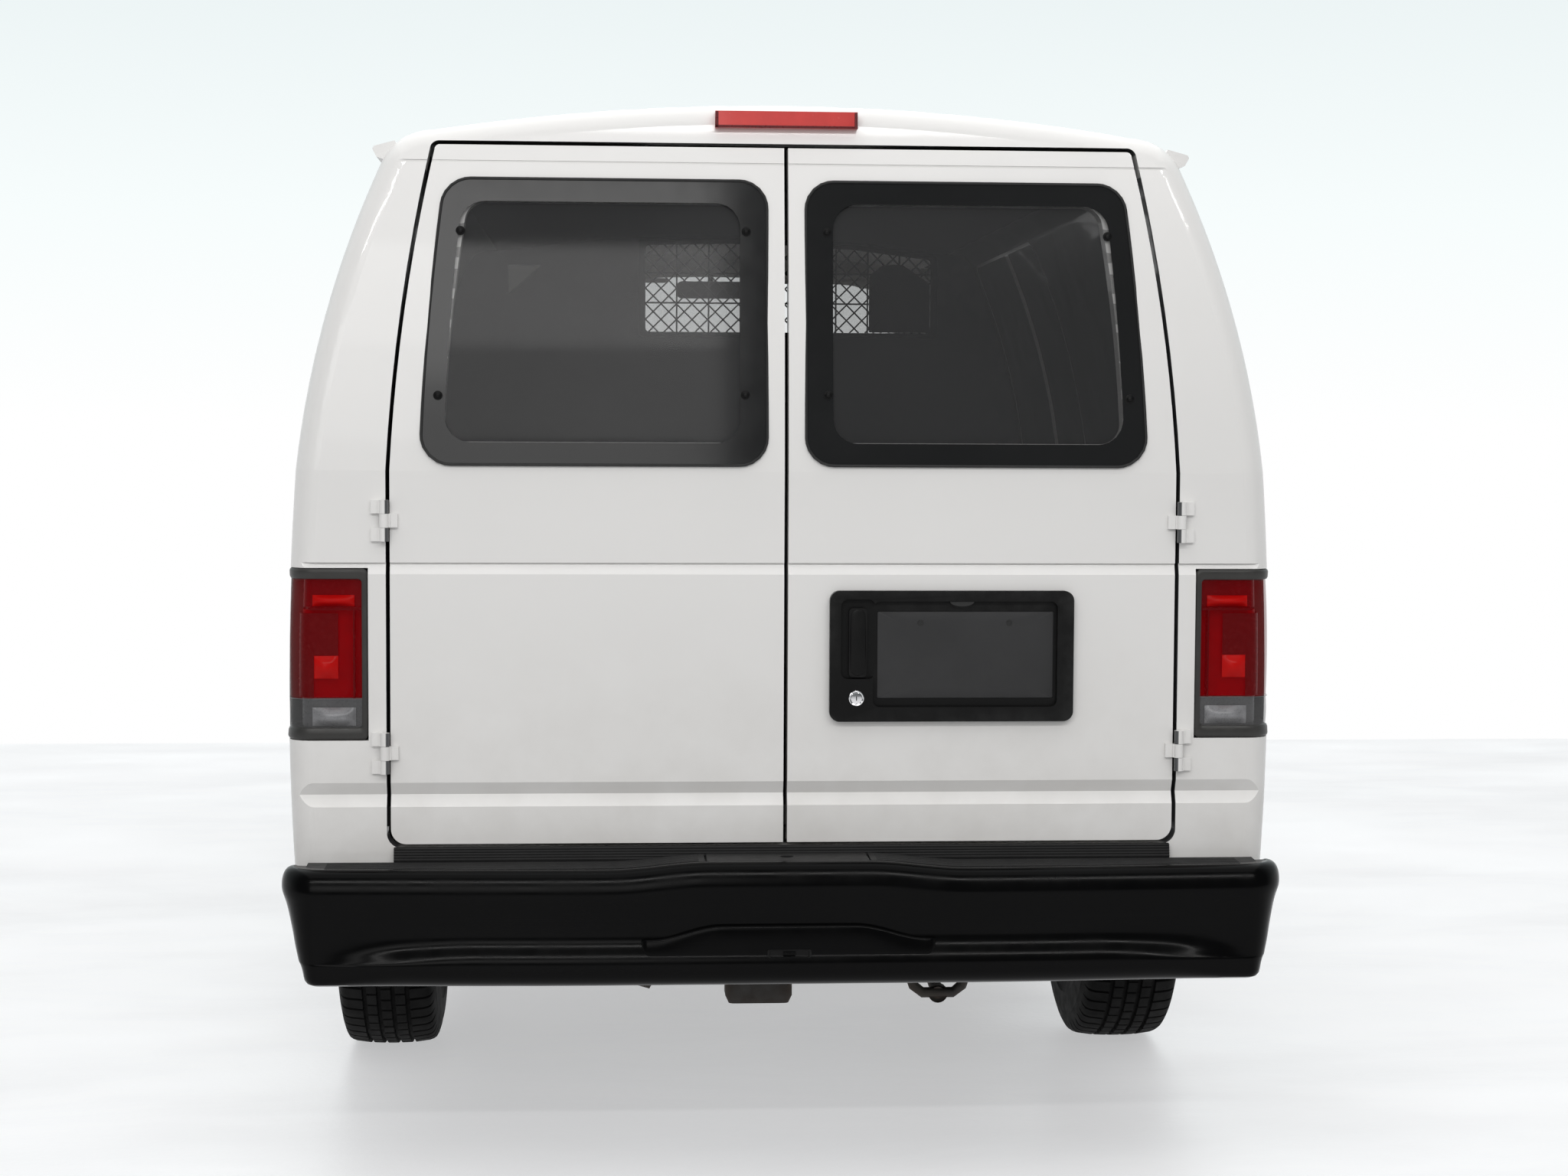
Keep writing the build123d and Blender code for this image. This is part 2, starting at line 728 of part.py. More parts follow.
front_arch = arch_cutter(front_axle_y, arch_radius, 500)
with BuildPart() as front_fenders:
    for name, side in sides():
        x1, x2 = sorted((side * 500, side * far))
        add(nose_skin & region((x1, front_door_front_y + door_gap, sill_z), (x2, front_panel_y, 1330)))
    add(hood_hole, mode=Mode.SUBTRACT)
    add(region((-far, 0, screen_foot_z), (far, far, far)), mode=Mode.SUBTRACT)
    add(region((-hood_half_rear - door_gap, 0, 1000), (hood_half_rear + door_gap, hood_rear_y, far)),
        mode=Mode.SUBTRACT)
    add(front_arch, mode=Mode.SUBTRACT)
    for name, side in sides():
        add(gap_hinge(side, False))
save(front_fenders, "front_fenders")

# openings for grille and lamps
grille_half, grille_low, grille_high = 545, 735, 985
lamp_from, lamp_bottom, lamp_top = 560, 735, 1000


def headlamp_box(side, grow):
    x1, x2 = sorted((side * (lamp_from - grow), side * far))
    return region((x1, front_panel_y + 20 - grow, lamp_bottom - grow), (x2, far, lamp_top + grow))


with BuildPart() as front_panel:
    add(nose_skin & region((-far, front_panel_y, 560), (far, far, far)))
    add(hood_hole, mode=Mode.SUBTRACT)
    add(region((-grille_half - seam, nose_y - 120, grille_low - seam), (grille_half + seam, far, grille_high + seam)),
        mode=Mode.SUBTRACT)
    for name, side in sides():
        add(headlamp_box(side, seam), mode=Mode.SUBTRACT)
save(front_panel, "front_panel")

with BuildPart() as headlamps:
    for name, side in sides():
        add((nose - nose_volume(40)) & headlamp_box(side, 0))
save(headlamps, "headlamps")

with BuildPart() as grille:
    with BuildSketch(at_y(nose_y - 5)):
        with Locations((0, (grille_low + grille_high) / 2)):
            RectangleRounded(2 * grille_half, grille_high - grille_low, 18)
    extrude(amount=40)
    with BuildSketch(at_y(nose_y + 20)):
        with Locations((0, (grille_low + grille_high) / 2)):
            with GridLocations(0, 58, 1, 4):
                RectangleRounded(2 * grille_half - 50, 40, 8)
    extrude(amount=80, mode=Mode.SUBTRACT)
    with BuildSketch(at_y(nose_y - 12)):
        with Locations((0, (grille_low + grille_high) / 2)):
            with GridLocations(260, 0, 3, 1):
                Rectangle(16, grille_high - grille_low - 40)
    extrude(amount=14)
save(grille, "grille")

# ---- cowl: firewall and the panel between hood and windshield ----
firewall_y = front_door_front_y + 60
engine_tunnel_half, engine_tunnel_top = 330, 1056
with BuildPart() as firewall:
    with Locations((0, firewall_y, (floor_z - floor_thickness + cowl_z + 25) / 2)):
        Box(2 * (belt_half - wall - 2), 24, cowl_z + 25 - floor_z + floor_thickness)
    with Locations((0, (firewall_y + hood_rear_y - hood_gap) / 2, cowl_z + 19)):
        Box(2 * (hood_half_rear + door_gap - seam), hood_rear_y - hood_gap - firewall_y, 12)
    add(region((-engine_tunnel_half, 0, 0), (engine_tunnel_half, far, engine_tunnel_top)), mode=Mode.SUBTRACT)
save(firewall, "firewall")

with BuildPart() as cowl_top:
    add(nose & region((-hood_half_rear - door_gap, front_axle_y - 400, cowl_z + 26),
                      (hood_half_rear + door_gap, hood_rear_y - hood_gap, far)))
    add(outer, mode=Mode.SUBTRACT)
    add(hood_hinge(False))
save(cowl_top, "cowl_top")

# ---- floor with rear wheelhouses ----
house_x = 700
mat_half, mat_rear_y, mat_front_y, mat_thickness = 660, -2480, 340, 6
house_radius = arch_radius + 10
wheelhouses, wheelhouse_hollows = [], []
for name, side in sides():
    for radius, x, found in ((house_radius + 12, house_x, wheelhouses),
                             (house_radius, house_x + 12, wheelhouse_hollows)):
        x1, x2 = sorted((side * x, side * far))
        with BuildPart() as drum:
            with BuildSketch(side_plane(x1)):
                with Locations((rear_axle_y, axle_z)):
                    Circle(radius)
            extrude(amount=x2 - x1)
        found.append(drum.part)

with BuildPart() as floor_pan:
    with Locations((0, (tail_y + wall + front_door_front_y + 40) / 2, floor_z - floor_thickness / 2)):
        Box(2 * body_half, front_door_front_y + 40 - tail_y - wall, floor_thickness)
    add(inner, mode=Mode.INTERSECT)
    for house in wheelhouses:
        add(house & inner & region((-far, -far, floor_z - floor_thickness), (far, far, far)))
    for hollow in wheelhouse_hollows:
        add(hollow, mode=Mode.SUBTRACT)
    with Locations((0, (mat_rear_y + mat_front_y) / 2, floor_z + mat_thickness / 2)):
        Box(2 * mat_half, mat_front_y - mat_rear_y, mat_thickness)
    add(region((-engine_tunnel_half, 1060, 0), (engine_tunnel_half, far, far)), mode=Mode.SUBTRACT)
    edge = belt_half - wall - door_gap
    for name, side in sides():
        x1, x2 = sorted((side * edge, side * far))
        add(region((x1, front_door_rear_y - door_gap, 0), (x2, far, far)), mode=Mode.SUBTRACT)
    add(region((edge, cargo_door_rear_y - door_gap, 0), (far, cargo_door_front_y + door_gap, far)), mode=Mode.SUBTRACT)
save(floor_pan, "floor_pan")

# ---- partition behind the seats ----
partition_y = pillar_y
mesh_low = 1744         # bottom of its window, which a wire mesh closes


def mesh_window(margin):
    """Window of the partition, seen from behind, its top running along under the roof."""
    low_x, high_x = -240 + margin, 650 - margin
    with BuildSketch() as window:
        with BuildLine():
            Polyline((low_x, 2014 - margin), (low_x, mesh_low + margin), (high_x, mesh_low + margin),
                     (high_x, 1975 - margin), (420, 2003 - margin), (210, 2016 - margin), (0, 2020 - margin),
                     close=True)
        make_face()
    return window.sketch


with BuildPart() as partition:
    with BuildSketch(at_y(partition_y + 12)):
        add(body_section(wall + 1))
    extrude(amount=24)
    add(region((-far, -far, 0), (far, far, floor_z)), mode=Mode.SUBTRACT)
    with BuildSketch(at_y(partition_y + 50)):
        add(mesh_window(0))
        for name, side in sides():
            with BuildLine():
                Polyline((side * 660, 1948), (side * 560, 1948), (side * 660, 1860), close=True)
            make_face()
    extrude(amount=100, mode=Mode.SUBTRACT)
    with BuildSketch(at_y(partition_y + 3)):
        for step in range(1, 9):
            with Locations((-240 + step * 99, mesh_low + 140)):
                Rectangle(5, 300)
        for step in range(1, 3):
            with Locations((205, mesh_low + step * 92)):
                Rectangle(892, 5)
        add(mesh_window(-2), mode=Mode.INTERSECT)
    extrude(amount=6)
save(partition, "partition")

# ---- cab interior ----
seat_x = 590
with BuildPart() as seats:
    for name, side in sides():
        with BuildSketch(side_plane(side * seat_x - 230)):
            with BuildLine():
                Polyline((500, floor_z + 220), (1040, floor_z + 240), (1040, floor_z + 350), (660, floor_z + 330),
                         (560, 1560), (440, 1560), (500, floor_z + 330), close=True)
            make_face()
        extrude(amount=460)
        with BuildSketch(side_plane(side * seat_x - 130)):
            with BuildLine():
                Polyline((430, 1575), (540, 1575), (535, 1760), (445, 1760), close=True)
            make_face()
        extrude(amount=260)
        with Locations((side * seat_x - 60, 485, 1567), (side * seat_x + 60, 485, 1567)):
            Cylinder(7, 30)
        with Locations((side * seat_x, 800, floor_z + 125)):
            Box(420, 440, 250)
save(seats, "seats")

with BuildPart() as engine_cover:
    with BuildSketch(side_plane(-engine_tunnel_half - 14)):
        with BuildLine():
            Polyline((1035, floor_z), (firewall_y - 12 - seam, floor_z), (firewall_y - 12 - seam, engine_tunnel_top),
                     (1120, engine_tunnel_top), (1035, 960), close=True)
        make_face()
    extrude(amount=2 * (engine_tunnel_half + 14))
    with BuildSketch(side_plane(-engine_tunnel_half)):
        with BuildLine():
            Polyline((1060, 0), (far, 0), (far, engine_tunnel_top - 14), (1130, engine_tunnel_top - 14),
                     (1060, 950), close=True)
        make_face()
    extrude(amount=2 * engine_tunnel_half, mode=Mode.SUBTRACT)
save(engine_cover, "engine_cover")

column_x = -560
column_tilt = 30
hub = Vector(column_x, 1120, 1290)
column_dir = Vector(0, cos(radians(column_tilt)), -sin(radians(column_tilt)))
steering_rim_radius = 190
with BuildPart() as dashboard:
    with BuildSketch(side_plane(-belt_half + wall + 6)):
        with BuildLine():
            Polyline((1330, 980), (firewall_y - 12 - seam, 980), (firewall_y - 12 - seam, 1228),
                     (1400, 1240), (1330, 1190), close=True)
        make_face()
    extrude(amount=2 * (belt_half - wall - 6))
    add(inner, mode=Mode.INTERSECT)
    add(region((-engine_tunnel_half - 15, 0, 0), (engine_tunnel_half + 15, far, engine_tunnel_top + 1)),
        mode=Mode.SUBTRACT)
    with BuildSketch(Plane(origin=hub + column_dir * 60, z_dir=column_dir)):
        Circle(32)
    extrude(amount=240)
    with BuildSketch(Plane(origin=hub + column_dir * 60, z_dir=column_dir)):
        Circle(10 + pin_clearance)
    extrude(amount=40, mode=Mode.SUBTRACT)
save(dashboard, "dashboard")

with BuildPart() as steering_wheel:
    with BuildSketch(Plane(origin=hub, x_dir=column_dir, z_dir=(1, 0, 0))):
        with Locations((0, steering_rim_radius)):
            Circle(14)
    revolve(axis=Axis(hub, column_dir))
    with BuildSketch(Plane(origin=hub - column_dir * 8, x_dir=(1, 0, 0), z_dir=column_dir)):
        Circle(70)
        for angle in (20, 160, 250, 290):
            with PolarLocations(125, 1, start_angle=angle):
                Rectangle(122, 26)
    extrude(amount=18)
    with BuildSketch(Plane(origin=hub, x_dir=(1, 0, 0), z_dir=column_dir)):
        Circle(10)
    extrude(amount=98)
save(steering_wheel, "steering_wheel")

# ---- engine: one plain block ----
with BuildPart() as engine:
    with Locations((0, 1700, 740)):
        Box(520, 720, 560)
save(engine, "engine")

# ---- chassis frame ----
rail_x, rail_width, rail_low, rail_high = 430, 75, 500, 650
spare_y, spare_z = -2180, 472
frame_rear_y, frame_front_y = tail_y + wall + 20, nose_y - 120
with BuildPart() as chassis_frame:
    for name, side in sides():
        with Locations((side * rail_x, (frame_rear_y + frame_front_y) / 2, (rail_low + rail_high) / 2)):
            Box(rail_width, frame_front_y - frame_rear_y, rail_high - rail_low)
        with Locations([(side * rail_x, y, rail_high + 5) for y in (tail_y + 200, -900, 0, 900, 1400)]):
            Cylinder(36, 10)
    for y in (frame_rear_y + 45, spare_y, -1080, -500, 200, 900):
        with Locations((0, y, rail_high - 30)):
            Box(2 * rail_x, 60, 60)
    with Locations((0, spare_y, (rail_high - 60 + spare_z - 42) / 2)):
        Cylinder(12, rail_high - 60 - spare_z + 42)
    with Locations((0, spare_y, spare_z - 36)):
        Cylinder(82, 12 - seam)
    with Locations((0, front_axle_y - 240, 443), (0, frame_front_y - 50, 560)):
        Box(2 * rail_x, 90, 34 - 2 * seam)
    for name, side in sides():
        with Locations((side * rail_x, front_axle_y - 240, 465)):
            Box(rail_width, 90, 78)
save(chassis_frame, "chassis_frame")

# ---- axles, springs and shafts ----
king_x = front_track / 2 - 95
spring_x, spring_width = 560, 62
tube_radius = 44
with BuildPart() as rear_axle:
    with BuildSketch(side_plane(-rear_track / 2 + 62)):
        with Locations((rear_axle_y, axle_z)):
            Circle(tube_radius)
    extrude(amount=rear_track - 124)
    with BuildSketch(side_plane(-rear_track / 2 - 60)):
        with Locations((rear_axle_y, axle_z)):
            Circle(30)
    extrude(amount=rear_track + 120)
    with Locations((0, rear_axle_y, axle_z)):
        Sphere(165)
    with BuildSketch(at_y(rear_axle_y + 260)):
        with Locations((0, axle_z)):
            Circle(48)
    extrude(amount=200)
    for name, side in sides():
        with Locations((side * spring_x, rear_axle_y, axle_z + tube_radius + 2)):
            Box(90, 130, 30)
save(rear_axle, "rear_axle")

spring_half = 690
spring_top = axle_z + tube_radius + 17
with BuildPart() as leaf_springs:
    for name, side in sides():
        x = side * spring_x - spring_width / 2
        for leaf, share in enumerate((1, 0.72, 0.5, 0.3)):
            length = spring_half * share
            rise = 92 * share * share
            base = spring_top + 9 + 11 * (3 - leaf)
            with BuildSketch(side_plane(x)):
                with BuildLine():
                    ThreePointArc((rear_axle_y - length, base + rise), (rear_axle_y, base),
                                  (rear_axle_y + length, base + rise))
                    Line((rear_axle_y + length, base + rise), (rear_axle_y + length, base + rise + 11))
                    ThreePointArc((rear_axle_y + length, base + rise + 11), (rear_axle_y, base + 11),
                                  (rear_axle_y - length, base + rise + 11))
                    Line((rear_axle_y - length, base + rise + 11), (rear_axle_y - length, base + rise))
                make_face()
            extrude(amount=spring_width)
        with Locations((side * spring_x, rear_axle_y, spring_top + 4.7)):
            Box(spring_width, 120, 9)
        for end in (-1, 1):
            with Locations((side * (rail_x + rail_width / 2 + 63), rear_axle_y + end * (spring_half + 8), 575)):
                Box(126, 56, 56)
save(leaf_springs, "leaf_springs")

with BuildPart() as driveshaft:
    with BuildSketch(at_y(1340 - seam)):
        with Locations((0, axle_z + 110)):
            Circle(75)
    extrude(amount=600)
    shaft_start = Vector(0, 735, axle_z + 110)
    shaft_end = Vector(0, rear_axle_y + 262.7, axle_z)
    shaft_dir = (shaft_end - shaft_start).normalized()
    with BuildSketch(Plane(origin=shaft_start - shaft_dir * 20, z_dir=shaft_dir)):
        Circle(42)
    extrude(amount=(shaft_end - shaft_start).length + 20)
save(driveshaft, "driveshaft")

beam_y = front_axle_y
with BuildPart() as front_axle_beams:
    for name, side in sides():
        far_end = Vector(-side * 330, beam_y - side * 26, 420)
        near_end = Vector(side * (king_x - 62), beam_y - side * 26, axle_z)
        with BuildSketch(Plane(origin=far_end, x_dir=(0, 1, 0), z_dir=near_end - far_end)):
            Rectangle(44, 70)
        extrude(amount=(near_end - far_end).length)
        with Locations((side * (king_x - 62), beam_y - side * 10, axle_z)):
            Box(50, 72, 84)
        for z in (axle_z + 50, axle_z - 50):
            with Locations((side * king_x, beam_y, z)):
                Cylinder(30, 26)
            with Locations((side * (king_x - 32), beam_y, z)):
                Box(64, 56, 26 - 2 * seam)
            with Locations((side * king_x, beam_y, z)):
                Cylinder(12 + pin_clearance, 26, mode=Mode.SUBTRACT)
        with Locations((-side * (rail_x - rail_width / 2 - 49), beam_y - side * 26, 470)):
            Box(98 - 2 * seam, 50, 136)
save(front_axle_beams, "front_axle_beams")

steer_limit = 35
for name, side in sides():
    with BuildPart() as knuckle:
        with Locations((side * king_x, beam_y, axle_z)):
            Cylinder(28, 72)
            Cylinder(12, 126)
        with BuildSketch(side_plane(side * king_x)):
            with Locations((beam_y, axle_z)):
                Circle(24)
        extrude(amount=side * (front_track / 2 - king_x + 60))
        with Locations((side * (king_x + 16), beam_y - 90, axle_z - 20)):
            Box(26, 150, 22)
    save(knuckle, f"knuckle_{name}")

# ---- wheels ----
wheel_places = (
    ("front_left", -front_track / 2, front_axle_y),
    ("front_right", front_track / 2, front_axle_y),
    ("rear_left", -rear_track / 2, rear_axle_y),
    ("rear_right", rear_track / 2, rear_axle_y),
)
bead_half = 88


def tyre_solid(x, y, z):
    """Tyre on an axle along X: round tread, bulging sidewalls, open bead."""
    half = tyre_width / 2
    with BuildPart() as tyre:
        with BuildSketch(Plane(origin=(x, y, z), x_dir=(1, 0, 0), z_dir=(0, -1, 0))):
            with BuildLine():
                Polyline((-bead_half, rim_radius), (bead_half, rim_radius), (bead_half + 4, rim_radius + 20))
                ThreePointArc((bead_half + 4, rim_radius + 20), (half, 280), (half - 14, tyre_radius - 14))
                ThreePointArc((half - 14, tyre_radius - 14), (half - 22, tyre_radius - 7),
                              (half - 32, tyre_radius - 4))
                ThreePointArc((half - 32, tyre_radius - 4), (0, tyre_radius), (-half + 32, tyre_radius - 4))
                ThreePointArc((-half + 32, tyre_radius - 4), (-half + 22, tyre_radius - 7),
                              (-half + 14, tyre_radius - 14))
                ThreePointArc((-half + 14, tyre_radius - 14), (-half, 280), (-bead_half - 4, rim_radius + 20))
                Line((-bead_half - 4, rim_radius + 20), (-bead_half, rim_radius))
            make_face()
        revolve(axis=Axis((x, y, z), (1, 0, 0)))
    return tyre.part


def rim_solid(x, y, z, side, bore):
    """Steel wheel with dished disc, hand holes, hub and brake disc, bored for its spindle."""
    with BuildPart() as rim:
        with BuildSketch(Plane(origin=(x, y, z), x_dir=(side, 0, 0), z_dir=(0, side, 0))):
            with BuildLine():
                Polyline((-bead_half, rim_radius), (bead_half, rim_radius), (bead_half + 6, rim_radius + 12),
                         (bead_half + 8, rim_radius + 8), (bead_half + 2, rim_radius - 8),
                         (60, rim_radius - 16), (52, rim_radius - 30), (62, 110), (66, 62), (100, 58),
                         (104, 40), (104, 0), (-40, 0), (-40, 60), (36, 64), (44, 110),
                         (34, rim_radius - 34), (30, rim_radius - 18), (-bead_half - 2, rim_radius - 8),
                         close=True)
            make_face()
        revolve(axis=Axis((x, y, z), (1, 0, 0)))
        with BuildSketch(Plane.YZ.offset(x - 75)):
            with Locations((y, z)):
                with PolarLocations(138, 8):
                    Circle(17)
        extrude(amount=150, mode=Mode.SUBTRACT)
        with BuildSketch(side_plane(x - 150 if side > 0 else x - 61)):
            with Locations((y, z)):
                Circle(bore)
        extrude(amount=211, mode=Mode.SUBTRACT)
    return rim.part


for name, x, y in wheel_places:
    side = 1 if x > 0 else -1
    with BuildPart() as tyre:
        add(tyre_solid(x, y, axle_z))
    save(tyre, f"tyre_{name}")
    with BuildPart() as rim:
        add(rim_solid(x, y, axle_z, side, (24 if y > 0 else 30) + pin_clearance))
    save(rim, f"rim_{name}")

with BuildPart() as spare_wheel:
    with BuildSketch(Plane(origin=(0, spare_y, spare_z), x_dir=(0, 0, 1), z_dir=(0, -1, 0))):
        with BuildLine():
            Polyline((-30, 60), (-30, rim_radius - 30), (-100, rim_radius - 12), (-104, rim_radius + 10),
                     (-112, 290), (-95, 360), (-60, tyre_radius - 4), (60, tyre_radius - 4), (95, 360),
                     (112, 290), (104, rim_radius + 10), (100, rim_radius - 12), (-10, rim_radius - 30),
                     (-10, 60), close=True)
        make_face()
    revolve(axis=Axis((0, spare_y, spare_z), (0, 0, 1)))
save(spare_wheel, "spare_wheel")

# ---- fuel tank and exhaust ----
with BuildPart() as fuel_tank:
    with Locations((-680, -300, 510)):
        Box(380, 1000, 220)
    fillet(fuel_tank.edges().filter_by(Axis.Y), 40)
    for y in (-650, 50):
        with Locations((-(rail_x + rail_width / 2 + 20), y, 560)):
            Box(40 - seam, 50, 50)
save(fuel_tank, "fuel_tank")

pipe_x, pipe_z = 665, 470
with BuildPart() as exhaust:
    with BuildLine() as pipe_route:
        FilletPolyline((290, 1500, 440), (290, 1250, 440), (pipe_x, 900, pipe_z), (pipe_x, tail_y + 140, pipe_z),
                       radius=120)
    with BuildSketch(Plane(origin=(290, 1500, 440), z_dir=(0, -1, 0))):
        Circle(29)
    sweep(path=pipe_route.line)
    with BuildSketch(at_y(500)):
        with Locations((pipe_x, pipe_z + 4)):
            Ellipse(95, 66)
    extrude(amount=700)
    for y in (400, -100, -1000, tail_y + 220):
        hanger_end = rail_x + rail_width / 2 + seam
        with Locations(((pipe_x + hanger_end) / 2, y, 515)):
            Box(pipe_x - hanger_end, 24, 10)
        with Locations((pipe_x, y, 505)):
            Box(12, 24, 30)
save(exhaust, "exhaust")

# ---- bumpers ----
bumper_half = 990
step_z = 600            # side pads of the step
ball_step_z = 613       # raised middle of the step
step_underside = 545
bumper_wall = 55
ball_bore = 13.2        # radius of the hole for a tow ball's shank
back, front = -overall_length / 2, overall_length / 2


rear_turn = ((100, 14), (29, 43), (0, 114))     # corner: inwards from the side, back from the tip
front_turn = ((390, 6), (95, 62), (0, 205))


def wrap_plan(end, half, length, margin, turn):
    """Bumper in plan, wrapping round both corners; `end` is its outermost y."""
    sign = 1 if end > 0 else -1
    tip = end - sign * margin
    start, middle, finish = ((half - margin - x, tip - sign * y) for x, y in turn)
    with BuildSketch() as outline:
        with BuildLine():
            Polyline((0, end - sign * length), (0, tip), (345, tip), start)
            ThreePointArc(start, middle, finish)
            Polyline(finish, (half - margin, end - sign * length), (0, end - sign * length))
        make_face()
        mirror(about=Plane.YZ)
    return outline.sketch


def upright(sketch):
    """Tall cutting tool from a plan outline."""
    return prism(Plane.XY, sketch, 1500)


def rear_bumper_section(x, top):
    """Side view of the rear bumper at x: step, rounded edge, hollow face, lip turned under."""
    with BuildSketch(side_plane(x)) as section:
        with BuildLine():
            Polyline((back + 320, top), (back + 320, 380), (back + 60, 372), (back + 24, 364), (back + 8, 386),
                     (back + 2, 410), (back + 5, 428), (back + 22, 446), (back + 24, 470), (back + 18, top - 96),
                     (back + 2, top - 58), (back, top - 38), (back + 12, top - 12), (back + 32, top), close=True)
        make_face()
    return section.sketch


with BuildPart() as rear_bumper:
    for x, top in ((-bumper_half - 10, step_z), (-345, step_z), (-160, ball_step_z), (160, ball_step_z),
                   (345, step_z), (bumper_half + 10, step_z)):
        add(rear_bumper_section(x, top))
    loft(ruled=True)
    add(upright(wrap_plan(back, bumper_half, 300, 0, rear_turn)), mode=Mode.INTERSECT)
    with BuildSketch(at_y(0)):
        with BuildLine():
            Polyline((0, 200), (0, 800), (bumper_half - 20, 800), (bumper_half - 20, step_z),
                     (bumper_half, 580), (bumper_half - 12, 536), (bumper_half - 27, 473),
                     (bumper_half - 48, 425), (bumper_half - 79, 388), (bumper_half - 115, 350),
                     (bumper_half - 115, 200), close=True)
        make_face()
        mirror(about=Plane.YZ)
    extrude(amount=far, mode=Mode.INTERSECT)
    hollow = upright(wrap_plan(back, bumper_half, 320, bumper_wall, rear_turn))
    add(hollow & region((-far, -far, 0), (far, far, step_underside)), mode=Mode.SUBTRACT)
    add(hollow & region((-far, tail_y - 14, 0), (far, far, far)), mode=Mode.SUBTRACT)
    add(region((-far, tail_y - 14, 570), (far, far, far)), mode=Mode.SUBTRACT)
    with Locations((0, tail_y - 55, step_z - 30)):
        Cylinder(ball_bore, 120, mode=Mode.SUBTRACT)
    for name, side in sides():
        with Locations((side * rail_x, (frame_rear_y - seam + back + bumper_wall - 5) / 2, 515)):
            Box(60, frame_rear_y - seam - back - bumper_wall + 5, 90)
save(rear_bumper, "rear_bumper")

with BuildPart() as front_bumper:
    with BuildSketch(side_plane(-far / 2)):
        with BuildLine():
            Polyline((front - 320, 640), (front - 34, 640), (front - 12, 628), (front, 590), (front, 480),
                     (front - 24, 440), (front - 320, 440), close=True)
        make_face()
    extrude(amount=far)
    add(upright(wrap_plan(front, body_half - 8, 285, 0, front_turn)), mode=Mode.INTERSECT)
    add(upright(wrap_plan(front, body_half - 8, 320, bumper_wall, front_turn)), mode=Mode.SUBTRACT)
    add(region((-far, 0, 555), (far, nose_y + 4, far)), mode=Mode.SUBTRACT)
    for name, side in sides():
        with Locations((side * rail_x, (frame_front_y + seam + front - bumper_wall + 5) / 2, 525)):
            Box(60, front - bumper_wall + 5 - frame_front_y - seam, 60)
save(front_bumper, "front_bumper")

# ---- mirrors, on the front doors ----
for name, side in sides():
    with BuildPart() as mirror_head:
        with Locations((side * (body_half + 185), 1395, 1490)):
            Box(200, 90, 300)
        fillet(mirror_head.edges().filter_by(Axis.Y), 38)
        fillet(mirror_head.faces().sort_by(Axis.Y)[-1].edges(), 30)
        for z in (1400, 1465):
            with Locations((side * (body_half + 30), 1385, z)):
                Box(150, 30, 26)
        add(outer, mode=Mode.SUBTRACT)
    save(mirror_head, f"mirror_{name}")
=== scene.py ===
"""Full-size cargo van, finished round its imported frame.

Metres. X points to the van's right, Y forward, Z up; the origin is on the ground under its middle.
"""

import math

import bmesh
import bpy
import numpy as np
from mathutils import Matrix, Vector
from mathutils.bvhtree import BVHTree


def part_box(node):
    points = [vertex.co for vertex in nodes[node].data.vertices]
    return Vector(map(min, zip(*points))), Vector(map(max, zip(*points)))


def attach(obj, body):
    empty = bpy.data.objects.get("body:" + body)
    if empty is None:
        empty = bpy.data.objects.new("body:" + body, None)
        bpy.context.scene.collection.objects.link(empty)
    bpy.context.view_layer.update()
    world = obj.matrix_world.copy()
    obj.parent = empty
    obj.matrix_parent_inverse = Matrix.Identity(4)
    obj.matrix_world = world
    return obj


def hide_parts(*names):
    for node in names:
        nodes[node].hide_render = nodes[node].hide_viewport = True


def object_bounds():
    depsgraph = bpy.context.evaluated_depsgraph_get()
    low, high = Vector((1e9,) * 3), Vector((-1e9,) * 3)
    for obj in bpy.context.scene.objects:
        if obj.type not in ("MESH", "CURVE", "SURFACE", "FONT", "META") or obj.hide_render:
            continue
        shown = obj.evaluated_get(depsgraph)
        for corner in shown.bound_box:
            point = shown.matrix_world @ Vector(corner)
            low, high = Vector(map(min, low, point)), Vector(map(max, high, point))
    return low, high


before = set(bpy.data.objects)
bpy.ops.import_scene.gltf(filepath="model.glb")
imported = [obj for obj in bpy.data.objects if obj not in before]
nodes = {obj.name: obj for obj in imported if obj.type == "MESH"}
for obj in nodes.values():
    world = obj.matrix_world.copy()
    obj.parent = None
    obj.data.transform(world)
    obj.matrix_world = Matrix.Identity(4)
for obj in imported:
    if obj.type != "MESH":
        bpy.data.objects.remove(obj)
cad_bounds = [list(corner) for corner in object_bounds()]

# ---- sizes shared with the frame
TAIL_Y = -2.602
BACK_Y = cad_bounds[0][1]
GLASS_LOW, GLASS_HIGH = 1.38, 1.942
LAMP_IN, LAMP_LOW, LAMP_HIGH = 0.821, 0.838, 1.177
AXLE_Z = 0.372
WHEELS = {
    "front_left": (-0.8815, 1.934),
    "front_right": (0.8815, 1.934),
    "rear_left": (-0.852, -1.571),
    "rear_right": (0.852, -1.571),
}
SIDES = (("left", -1), ("right", 1))
ROOF_Z, SIDE_X = 2.0, 0.98  # stand-ins where a ray misses the roof or a side


